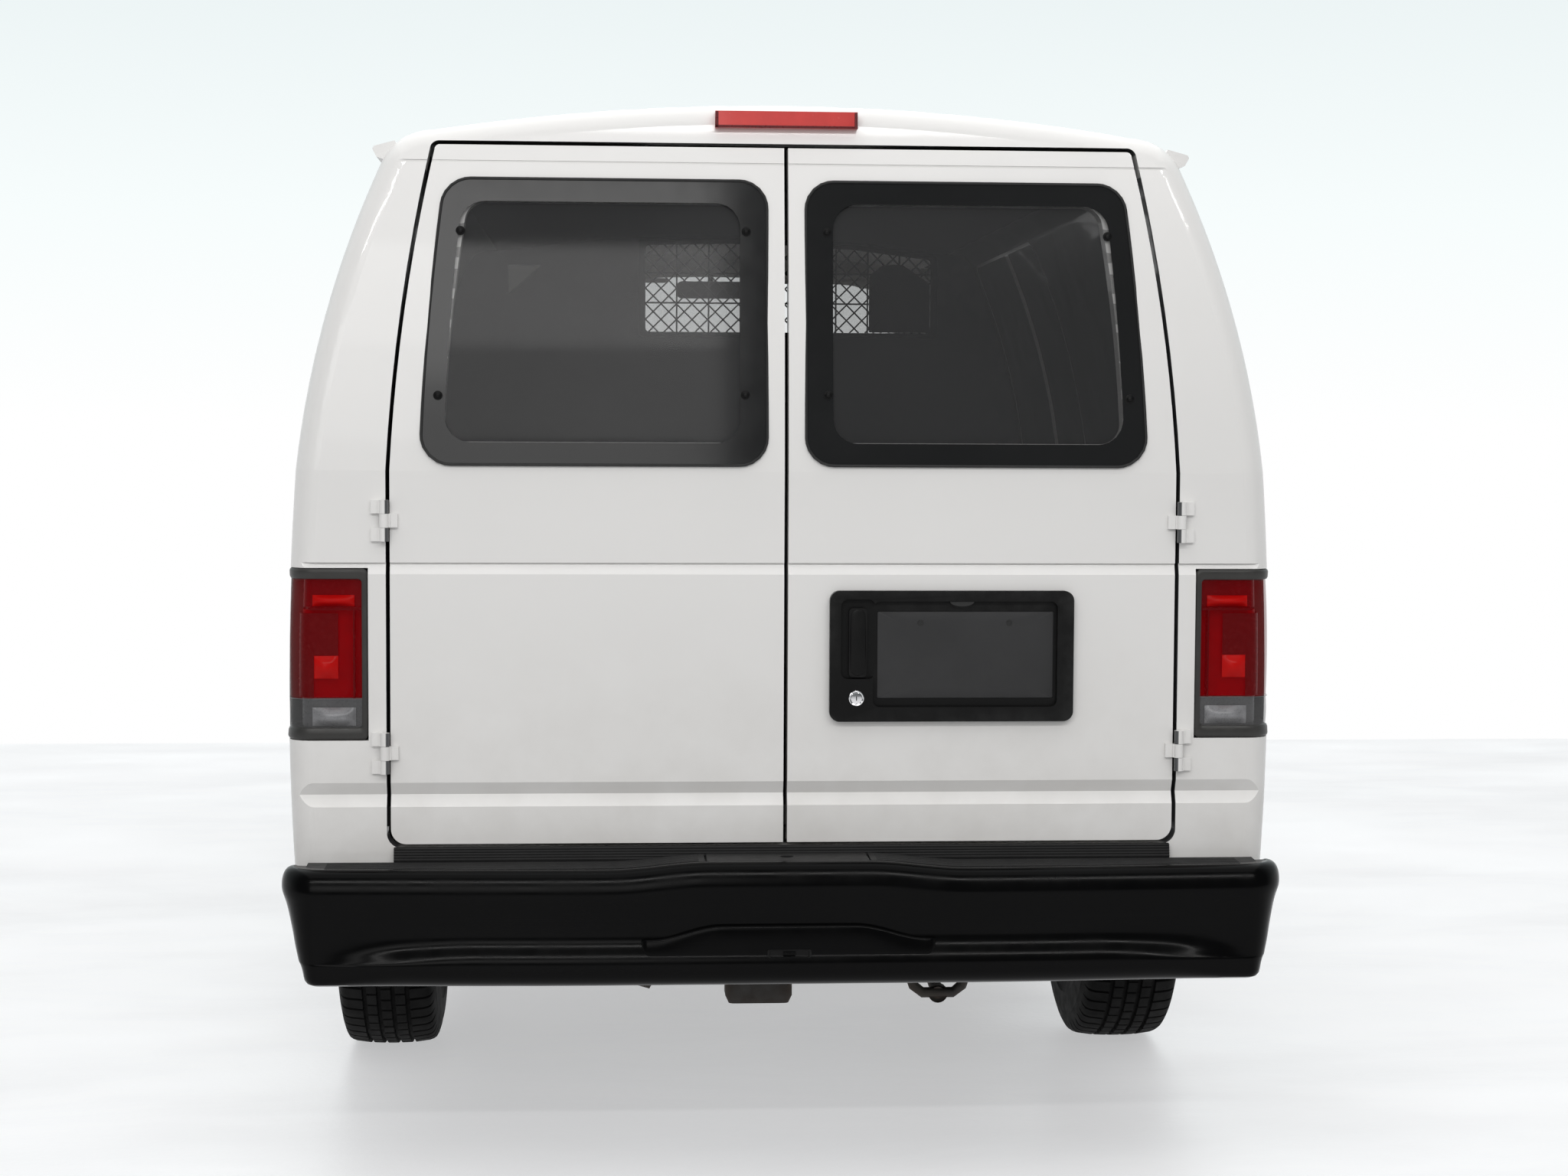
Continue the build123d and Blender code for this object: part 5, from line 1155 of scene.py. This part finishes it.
HANDLE_Z = 1.15
for name, side in SIDES:
    pull_handle(side, 0.56, HANDLE_Z, f"front_door_{name}", f"front_handle_{name}")
pull_handle(1, -0.215, HANDLE_Z, "side_door_front", "side_handle")
flap = side_plate(-1, -1.02, 1.06, 0.19, 0.175, 0.025, 0.0016, 0.0006)
piece("fuel_flap", flap, body_paint, "body", "body_paint")
dimple = side_plate(-1, -1.092, 1.06, 0.018, 0.04, 0.008, 0.0026)
piece("fuel_flap_grip", dimple, rubber, "body", "black_plastic")
for name, side in SIDES:
    marker = side_plate(side, -2.33, 0.735, 0.11, 0.034, 0.012, 0.004, 0.003)
    piece(f"side_marker_rear_{name}", marker, lamp_bar, "body", "tail_lens")
    strip_rows = []
    for y in spaced(0.47, 1.4, 40):
        a, b = on_side(side, y, 1.312), on_side(side, y, 1.324)
        if a and b:
            strip_rows.append([(a.x - side * 0.001, y, a.z), (a.x + side * 0.003, y, a.z + 0.002),
                               (b.x + side * 0.003, y, b.z - 0.002), (b.x - side * 0.001, y, b.z)])
    if len(strip_rows) > 4:
        piece(f"belt_seal_{name}", Shape().loft(strip_rows), rubber, f"front_door_{name}", "black_plastic")


# ---- door mirrors
MIRROR_X, MIRROR_Z = 1.008 + 0.185, 1.492
for name, side in SIDES:
    glass_rear_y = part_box(f"mirror_{name}")[0][1]
    cx = side * MIRROR_X
    mirror_glass = stack(outline(rectangle(cx, MIRROR_Z, 0.168, 0.262), 0.03, 6, 4), (cx, MIRROR_Z),
        [(g, glass_rear_y + y) for g, y in ((1.0, 0.0004), (0.985, 0.0002), (0.5, 0.0002), (0.05, 0.0002))],
        back=False)
    piece(f"mirror_glass_{name}", mirror_glass, chrome, f"front_door_{name}", "black_plastic")


# ---- front
nose_skin = skin_of("front_panel", "headlamps", "hood", "front_fenders", "grille")
screen_skin = skin_of("windshield")


class HeadLamp:
    """Outer face of a headlamp: t runs from its inner edge round to the side."""

    def __init__(self, side):
        self.side = side
        self.tree = skin_of("headlamps")
        self.axis = Vector((side * 0.62, 2.4, 0.0))
        self.cache = {}

    def at(self, t, z, depth=0.0):
        key = (round(t, 4), round(z, 4))
        if key not in self.cache:
            a = math.radians(101.0 - 84.0 * t)
            out = Vector((self.side * math.cos(a), math.sin(a), 0.0))
            origin = self.axis + out * 0.9 + Vector((0, 0, z))
            p, _ = hit(self.tree, origin, -out)
            self.cache[key] = (p, out)
        p, out = self.cache[key]
        if p is None:
            return None
        return p - out * depth

    def patch(self, t0, t1, z0, z1, depth, nt=24, nz=10):
        rows = []
        for j in range(nz + 1):
            row = []
            for i in range(nt + 1):
                a, b = i / nt, j / nz
                p = self.at(t0 + (t1 - t0) * a, z0 + (z1 - z0) * b, depth(a, b) if callable(depth) else depth)
                if p is None:
                    p = Vector(row[-1]) if row else Vector((self.side * 0.6, 2.6, z0))
                row.append(tuple(p))
            rows.append(row)
        return Shape().grid(rows)


def bowl(a, b):
    """Depth of the headlamp's reflector, deepest in its middle."""
    return 0.026 - 0.02 * (abs(2 * a - 1) ** 3 + abs(2 * b - 1) ** 3) / 2


head_lens = pane("head_lens", (0.5, 0.5, 0.5), 0.14, 0.03, spec=0.6)
amber_lens = pane("amber_lens", (0.8, 0.24, 0.01), 0.7, 0.05, spec=0.4)
for name, side in SIDES:
    lamp = HeadLamp(side)
    z0, z1 = 0.738, 0.997
    piece(f"head_back_{name}", lamp.patch(0.02, 0.98, z0, z1, 0.03, 24, 10), lamp_bezel, "body",
          "black_plastic", replaces=("headlamps",) if side < 0 else ())
    piece(f"head_reflector_{name}", lamp.patch(0.06, 0.6, z0 + 0.028, z1 - 0.028, bowl, 24, 14),
          reflector_silver, "body", "lamp_lens")
    bulb_at = lamp.at(0.33, 0.868, 0.016)
    if bulb_at:
        bulb = Shape().lathe([(-0.004, 0.03), (0.0, 0.03), (0.004, 0.022), (0.008, 0.012), (0.01, 0.0001)],
            tuple(bulb_at), "Y", 32)
        piece(f"head_bulb_{name}", bulb, bulb_glass, "body", "lamp_lens")
    piece(f"head_lens_{name}", lamp.patch(0.03, 0.64, z0 + 0.01, z1 - 0.01, 0.0012, 28, 16), head_lens,
        "body", "lamp_lens")
    piece(f"head_signal_{name}", lamp.patch(0.66, 0.97, z0 + 0.01, z1 - 0.01, 0.0012, 16, 16), amber_lens,
        "body", "lamp_lens")
    rim = []
    line = outline([(0.005, z0), (0.995, z0), (0.995, z1), (0.005, z1)], 0.004, 3, 24)
    inner = outline([(0.03, z0 + 0.01), (0.97, z0 + 0.01), (0.97, z1 - 0.01), (0.03, z1 - 0.01)], 0.004, 3,
        24)
    for share, depth in ((0.0, 0.01), (0.0, 0.0002), (0.5, -0.0008), (0.9, 0.0), (1.0, 0.004), (1.0, 0.028)):
        row = []
        for (ta, za), (tb, zb) in zip(line, inner):
            p = lamp.at(ta + (tb - ta) * share, za + (zb - za) * share, depth)
            row.append(tuple(p) if p else (row[-1] if row else (side * 0.57, 2.65, za)))
        rim.append(row)
    piece(f"head_rim_{name}", Shape().grid(rim, close_v=True), lamp_bezel, "body", "black_plastic")

surround = outline(rectangle(0.0, 0.86, 1.088, 0.248), 0.018, 6, 12)
inner_surround = outline(rectangle(0.0, 0.86, 1.04, 0.204), 0.012, 6, 12)
rows = [[(x, y, z) for x, z in between(surround, inner_surround, share)] for share, y in (
    (0.0, 2.64), (0.0, 2.6515), (0.2, 2.6535), (0.8, 2.6535), (1.0, 2.6515), (1.0, 2.63))]
piece("grille_surround", Shape().grid(rows, close_v=True), lamp_bezel, "body", "black_plastic")
fins = Shape()
for x in spaced(-0.5, 0.5, 20):
    fins.box((x - 0.0022, 2.616, 0.752), (x + 0.0022, 2.634, 0.968))
piece("grille_fins", fins, black_plastic, "body", "black_plastic", smooth=False)
radiator = Shape().grid([[(x, 2.556 + (0.003 if j % 2 else 0.0), z) for x in np.linspace(-0.5, 0.5, 21)]
                         for j, z in enumerate(spaced(0.66, 1.0, 40))])
piece("radiator_core", radiator, cast_iron, "body", "grey_steel", smooth=False)

for name, side in SIDES:
    pivot = Vector((side * 0.42 - 0.14, 1.8, 1.315))
    points, blade = [], []
    for k in range(17):
        t = k / 16
        p, n = hit(screen_skin, (pivot.x + (0.52 * t - 0.02), 3.2, 1.315 + 0.075 * t), (0, -1, 0))
        if p:
            points.append(tuple(p + n * 0.02))
            if t > 0.12:
                blade.append(tuple(p + n * 0.006))
    if len(blade) > 4:
        arm = Shape().tube([tuple(pivot)] + points[1:12], lambda t: 0.006 - 0.0025 * t, 8)
        arm.lathe([(0.0, 0.018), (0.012, 0.017), (0.018, 0.011), (0.02, 0.0001)],
            tuple(pivot - Vector((0, 0, 0.008))), "Z", 20)
        piece(f"wiper_arm_{name}", arm, black_plastic, "body", "black_plastic")
        wipe = Shape().tube(blade, 0.0045, 8)
        piece(f"wiper_blade_{name}", wipe, rubber, "body", "black_plastic")

mast_foot, _ = hit(nose_skin, (0.86, 1.93, 2.0), (0, 0, -1))
if mast_foot:
    x, y, z = mast_foot
    mast = Shape().lathe([(-0.004, 0.02), (0.006, 0.019), (0.016, 0.01), (0.022, 0.006)], (x, y, z), "Z", 20)
    mast.tube([(x, y, z + 0.015), (x, y - 0.04, z + 0.3), (x, y - 0.09, z + 0.68)],
        lambda t: 0.0034 - 0.0016 * t, 8)
    mast.lathe([(-0.004, 0.0001), (-0.003, 0.0042), (0.003, 0.0042), (0.004, 0.0001)],
        (x, y - 0.09, z + 0.68), "Z", 12)
    piece("aerial", mast, black_plastic, "body", "black_plastic")

# Long low ribs pressed into the roof.
RIB_SECTION = ((-0.034, -0.0008), (-0.026, 0.0012), (-0.014, 0.003), (0.014, 0.003), (0.026, 0.0012),
               (0.034, -0.0008))
for k, x in enumerate((-0.56, -0.3, 0.3, 0.56)):
    rows = []
    for j, y in enumerate(spaced(-2.25, 0.8, 60)):
        fade = min(1.0, min(j, 60 - j) / 4)
        row = []
        for dx, lift in RIB_SECTION:
            across = x + dx * (0.4 + 0.6 * fade)
            p, _ = hit(roof_skin, (across, y, 3.0), (0, 0, -1))
            row.append((across, y, (p.z if p else ROOF_Z) + lift * fade - 0.0004))
        rows.append(row)
    piece(f"roof_rib_{k}", Shape().grid(rows), body_paint, "body", "body_paint")


# ---- dashboard
cluster = stack(outline(rectangle(-0.56, 1.24, 0.4, 0.13), 0.04, 6, 6), (-0.56, 1.262), (
    (1.0, 1.2), (1.0, 1.15), (0.97, 1.143), (0.9, 1.143), (0.88, 1.156)), back=False)
piece("dial_housing", cluster, interior_plastic, "body", "black_plastic")
DIAL_Z = 1.24
for k, (x, r) in enumerate(((-0.675, 0.034), (-0.56, 0.046), (-0.445, 0.034))):
    dial = Shape().lathe([(0.004, r + 0.004), (-0.004, r + 0.004), (-0.005, r), (0.0, r - 0.001),
        (0.0005, 0.0001)], (x, 1.15, DIAL_Z), "Y", 40)
    piece(f"dial_{k}", dial, dial_face, "body", "black_plastic")
    a = math.radians(50 + 70 * k)
    tip = (x + 0.75 * r * math.cos(a), 1.146, DIAL_Z + 0.75 * r * math.sin(a))
    hand = Shape().tube([(x, 1.146, DIAL_Z), tip], 0.0012, 6)
    piece(f"dial_hand_{k}", hand, maroon, "body", "black_plastic")


# ---- padded seats
seat_vinyl = surface("seat_vinyl", (0.135, 0.13, 0.125), rough=0.62, patch=0.08, patch_scale=9, sheen=0.25,
                     grain=(420.0, 0.0006), wear=((0.22, 0.21, 0.2), 0.35), spec=0.35)
seat_weave = surface("seat_weave", (0.105, 0.105, 0.11), rough=0.88, patch=0.14, patch_scale=60, sheen=0.5,
                     grain=(1500.0, 0.0008), spec=0.2)


def pad_cage(size, corner):
    """Closed block with rounded edges."""
    mesh = bpy.data.meshes.new("cage")
    bm = bmesh.new()
    bmesh.ops.create_cube(bm, size=1.0)
    bmesh.ops.subdivide_edges(bm, edges=bm.edges, cuts=9, use_grid_fill=True)
    half = Vector(size) / 2
    for v in bm.verts:
        p = Vector((v.co.x * size[0], v.co.y * size[1], v.co.z * size[2]))
        core = Vector([max(-(half[n] - corner), min(half[n] - corner, p[n])) for n in range(3)])
        off = p - core
        if off.length > 1e-6:
            p = core + off.normalized() * corner
        v.co = p
    bm.to_mesh(mesh)
    bm.free()
    return mesh


CLOTH_PRESSURE, CLOTH_FRAMES = 4.0, 20
PUFF_CAP = 0.014            # the furthest a point may move
VOXEL = 0.01


def evaluated_mesh(obj):
    """Copy of an object's mesh with its modifiers applied; they are removed from it."""
    mesh = bpy.data.meshes.new_from_object(obj.evaluated_get(bpy.context.evaluated_depsgraph_get()))
    obj.modifiers.clear()
    return mesh


def puffed(obj):
    """Points of an object's mesh after a short cloth simulation under pressure."""
    scene = bpy.context.scene
    cloth = obj.modifiers.new("cloth", "CLOTH")
    settings = cloth.settings
    settings.use_pressure, settings.uniform_pressure_force = True, CLOTH_PRESSURE
    settings.effector_weights.gravity = 0.0
    settings.quality = 4
    settings.tension_stiffness = settings.compression_stiffness = 12
    cloth.collision_settings.use_collision = False
    cloth.point_cache.frame_start, cloth.point_cache.frame_end = 1, CLOTH_FRAMES
    for frame_number in range(1, CLOTH_FRAMES + 1):
        scene.frame_set(frame_number)
    mesh = evaluated_mesh(obj)
    scene.frame_set(1)
    return [v.co.copy() for v in mesh.vertices]


def cushion(name, size, corner, seams):
    """Padded block puffed up by the simulation, then pressed along its sewn channels.

    Each seam is (axis, place along it, depth, width).
    """
    obj = bpy.data.objects.new(name, pad_cage(size, corner))
    bpy.context.scene.collection.objects.link(obj)
    bpy.context.view_layer.objects.active = obj
    remesh = obj.modifiers.new("remesh", "REMESH")
    remesh.mode, remesh.voxel_size = "VOXEL", VOXEL
    solid = obj.data = evaluated_mesh(obj)
    start = [v.co.copy() for v in solid.vertices]
    moved = puffed(obj)
    for v, a, b in zip(solid.vertices, start, moved):
        step = b - a
        if step.length > PUFF_CAP:
            step = step.normalized() * PUFF_CAP
        p = a + step
        for axis, at, deep, wide in seams:
            gap = abs(p[axis] - at)
            if gap < wide * 3 and abs(p.z) > size[2] * 0.2:
                p = p - Vector((0, 0, math.copysign(deep * math.exp(-(gap / wide) ** 2), p.z)))
        v.co = p
    for polygon in solid.polygons:
        polygon.use_smooth = True
    bpy.data.objects.remove(obj)
    return solid


def place_pad(name, mesh, matrix, material, replaced=()):
    """Put a copy of a cushion's mesh in its place as a padded piece."""
    obj = bpy.data.objects.new(name, mesh.copy())
    bpy.context.scene.collection.objects.link(obj)
    obj.data.transform(matrix)
    obj.data.materials.clear()
    obj.data.materials.append(material)
    made = obj.modifiers.new("subsurf", "SUBSURF")
    made.levels = made.render_levels = 1
    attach(obj, "body")
    if replaced:
        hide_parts(*replaced)
    return obj


seat_mesh = cushion("seat_cage", (0.425, 0.5, 0.1), 0.038, (
    (0, -0.13, 0.01, 0.008), (0, 0.13, 0.01, 0.008), (1, 0.08, 0.007, 0.007), (1, -0.08, 0.007, 0.007)))
back_mesh = cushion("back_cage", (0.425, 0.62, 0.1), 0.04, (
    (0, -0.13, 0.01, 0.008), (0, 0.13, 0.01, 0.008), (1, 0.12, 0.008, 0.007), (1, -0.08, 0.008, 0.007),
    (1, -0.02, 0.006, 0.006)))
head_mesh = cushion("head_cage", (0.235, 0.165, 0.072), 0.032, ((1, 0.0, 0.004, 0.006),))
SEAT_X, SHELL_Z = 0.59, 1.26
for name, side in SIDES:
    x = side * SEAT_X
    for label, mesh, y, z, tilt, cover in (("seat_cushion", seat_mesh, 0.775, 0.99, 2.3, seat_weave),
                                           ("seat_back", back_mesh, 0.553, 1.26, 98.0, seat_weave),
                                           ("headrest", head_mesh, 0.489, 1.668, 94.0, seat_vinyl)):
        turn = Matrix.Rotation(math.radians(tilt), 4, "X")
        place_pad(f"{label}_{name}", mesh, Matrix.Translation((x, y, z)) @ turn, cover,
                  ("seats",) if label == "seat_cushion" and side < 0 else ())
    base = stack(outline([(x - 0.21, 0.58), (x + 0.21, 0.58), (x + 0.21, 1.02), (x - 0.21, 1.02)], 0.03, 5,
        3), (x, 0.8), ((0.92, 0.702), (1.0, 0.712), (1.0, 0.9), (0.9, 0.93)), flat=True)
    piece(f"seat_base_{name}", base, interior_plastic, "body", "black_plastic")
    posts = Shape()
    for dx in (-0.06, 0.06):
        posts.tube([(x + dx, 0.5, 1.53), (x + dx, 0.493, 1.6)], 0.0065, 12)
    piece(f"headrest_posts_{name}", posts, chrome, "body", "seat_cloth")
    shell_line = outline(rectangle(x, SHELL_Z, 0.4, 0.56), 0.05, 6, 4)
    back_shell = Shape().loft([[(px, 0.5 + y + (SHELL_Z - pz) * 0.139, pz) for px,
        pz in about(shell_line, (x, SHELL_Z), g)] for g, y in ((1.0, 0.0), (1.0, -0.012), (0.95, -0.02),
        (0.5, -0.024), (0.05, -0.024))])
    piece(f"seat_back_shell_{name}", back_shell, interior_plastic, "body", "black_plastic")


# ---- floor, light and camera
CAMERA_PLACE = (-0.35, -7.73, 1.462)
CAMERA_TURN = (3.855, 3.6, 0.276)      # yaw, pitch and roll in degrees
CAMERA_LENS = 59.77
FLOOR_SIDE, FLOOR_BACK, FLOOR_FRONT = 40.0, -40.0, 4.2


def make_world():
    """Pale graded backdrop, darker towards the rear, over a plain even light."""
    world = bpy.data.worlds.new("studio")
    bpy.context.scene.world = world
    w = Graph(world)
    split = w.node("ShaderNodeSeparateXYZ", {0: w.coords.outputs["Generated"]})
    sky = w.ramp(split.outputs["Z"], (0.0, (1.0, 1.0, 1.0)), (0.08, (0.93, 0.98, 0.98)),
        (0.2, (0.8, 0.87, 0.88)))
    half = w.node("ShaderNodeMath", {0: split.outputs["Y"], 1: 0.5, 2: 0.5}, operation="MULTIPLY_ADD")
    ends = w.ramp(half.outputs[0], (0.35, (0.16, 0.163, 0.167)), (0.6, (1.0, 1.0, 1.0)))
    both = w.node("ShaderNodeMixRGB", {0: 1.0, 1: sky, 2: ends}, blend_type="MULTIPLY")
    light = w.node("ShaderNodeBackground", {"Color": (0.985, 0.995, 1.0, 1.0), "Strength": 0.5})
    seen = w.node("ShaderNodeBackground", {"Color": both.outputs[0]})
    mix = w.node("ShaderNodeMixShader", {0: w.looked_at(), 1: light.outputs[0], 2: seen.outputs[0]})
    w.node("ShaderNodeOutputWorld", {0: mix.outputs[0]})


def make_floor():
    """Grey floor that takes the shadow, and is lifted towards white where it is looked at."""
    mesh = bpy.data.meshes.new("floor")
    mesh.from_pydata([(-FLOOR_SIDE, FLOOR_BACK, 0), (FLOOR_SIDE, FLOOR_BACK, 0), (FLOOR_SIDE, FLOOR_FRONT, 0),
                      (-FLOOR_SIDE, FLOOR_FRONT, 0)], [], [(0, 1, 2, 3)])
    floor = bpy.data.objects.new("floor", mesh)
    bpy.context.scene.collection.objects.link(floor)
    g = principled("floor")
    drift = g.remap(g.noise(0.5, 6.0, 0.6, stretch=(1.0, 2.6, 1.0), distortion=0.6), 0.35, 0.7, 0.0, 1.0)
    worn = g.remap(g.noise(1.1, 6.0, stretch=(1.0, 2.0, 1.0)), 0.3, 0.7, 0.3, 0.52)
    g.feed(g.shader, {"Base Color": g.mix(drift, (0.47, 0.47, 0.475), (0.36, 0.362, 0.368)),
        "Roughness": worn, "Specular IOR Level": 0.28, "Normal": g.bump(g.noise(60.0, 4.0), 0.0006)})
    glow = g.node("ShaderNodeEmission", {"Color": (0.985, 0.99, 1.0, 1.0), "Strength": 0.475})
    lift = g.node("ShaderNodeAddShader", {0: g.shader.outputs[0], 1: glow.outputs[0]})
    swap = g.node("ShaderNodeMixShader", {0: g.looked_at(), 1: g.shader.outputs[0], 2: lift.outputs[0]})
    g.feed(g.out, {0: swap.outputs[0]})
    mesh.materials.append(g.owner)


def studio():
    """Backdrop, floor, lamps and the camera."""
    scene = bpy.context.scene
    scene.view_settings.view_transform = "Standard"
    make_world()
    make_floor()

    def area(name, place, target, size, power):
        lamp = bpy.data.lights.new(name, "AREA")
        lamp.shape, lamp.size, lamp.size_y = "RECTANGLE", size[0], size[1]
        lamp.energy, lamp.color = power, (1.0, 0.99, 0.98)
        holder = bpy.data.objects.new(name, lamp)
        scene.collection.objects.link(holder)
        holder.location = place
        holder.rotation_euler = (Vector(target) - Vector(place)).to_track_quat("-Z", "Y").to_euler()

    area("overhead", (0.0, -1.5, 6.5), (0.0, -1.5, 0.0), (9.0, 11.0), 285)
    area("strip", (0.0, -8.6, 5.0), (0.0, -2.6, 0.6), (9.0, 0.24), 175)
    area("left_high", (-2.9, -12.0, 4.2), (-2.9, -2.6, 3.0), (6.4, 1.3), 78)
    area("left_low", (-2.9, -12.0, 2.95), (-2.9, -2.6, 2.0), (6.4, 1.1), 34)
    area("front", (0.0, 7.5, 5.0), (0.0, 2.6, 0.8), (6.0, 0.8), 80)

    camera_data = bpy.data.cameras.new("camera")
    camera_data.sensor_fit, camera_data.sensor_width = "HORIZONTAL", 36.0
    camera_data.lens = CAMERA_LENS
    camera_data.clip_end = 200.0
    camera = bpy.data.objects.new("camera", camera_data)
    scene.collection.objects.link(camera)
    scene.camera = camera
    yaw, pitch, roll = (math.radians(a) for a in CAMERA_TURN)
    forward = Vector((math.sin(yaw) * math.cos(pitch), math.cos(yaw) * math.cos(pitch), -math.sin(pitch)))
    level = Vector((math.cos(yaw), -math.sin(yaw), 0.0))
    over = level.cross(forward)
    right = level * math.cos(roll) + over * math.sin(roll)
    up = over * math.cos(roll) - level * math.sin(roll)
    camera.matrix_world = Matrix([
        (right[n], up[n], -forward[n], CAMERA_PLACE[n]) for n in range(3)] + [(0.0, 0.0, 0.0, 1.0)])


studio()
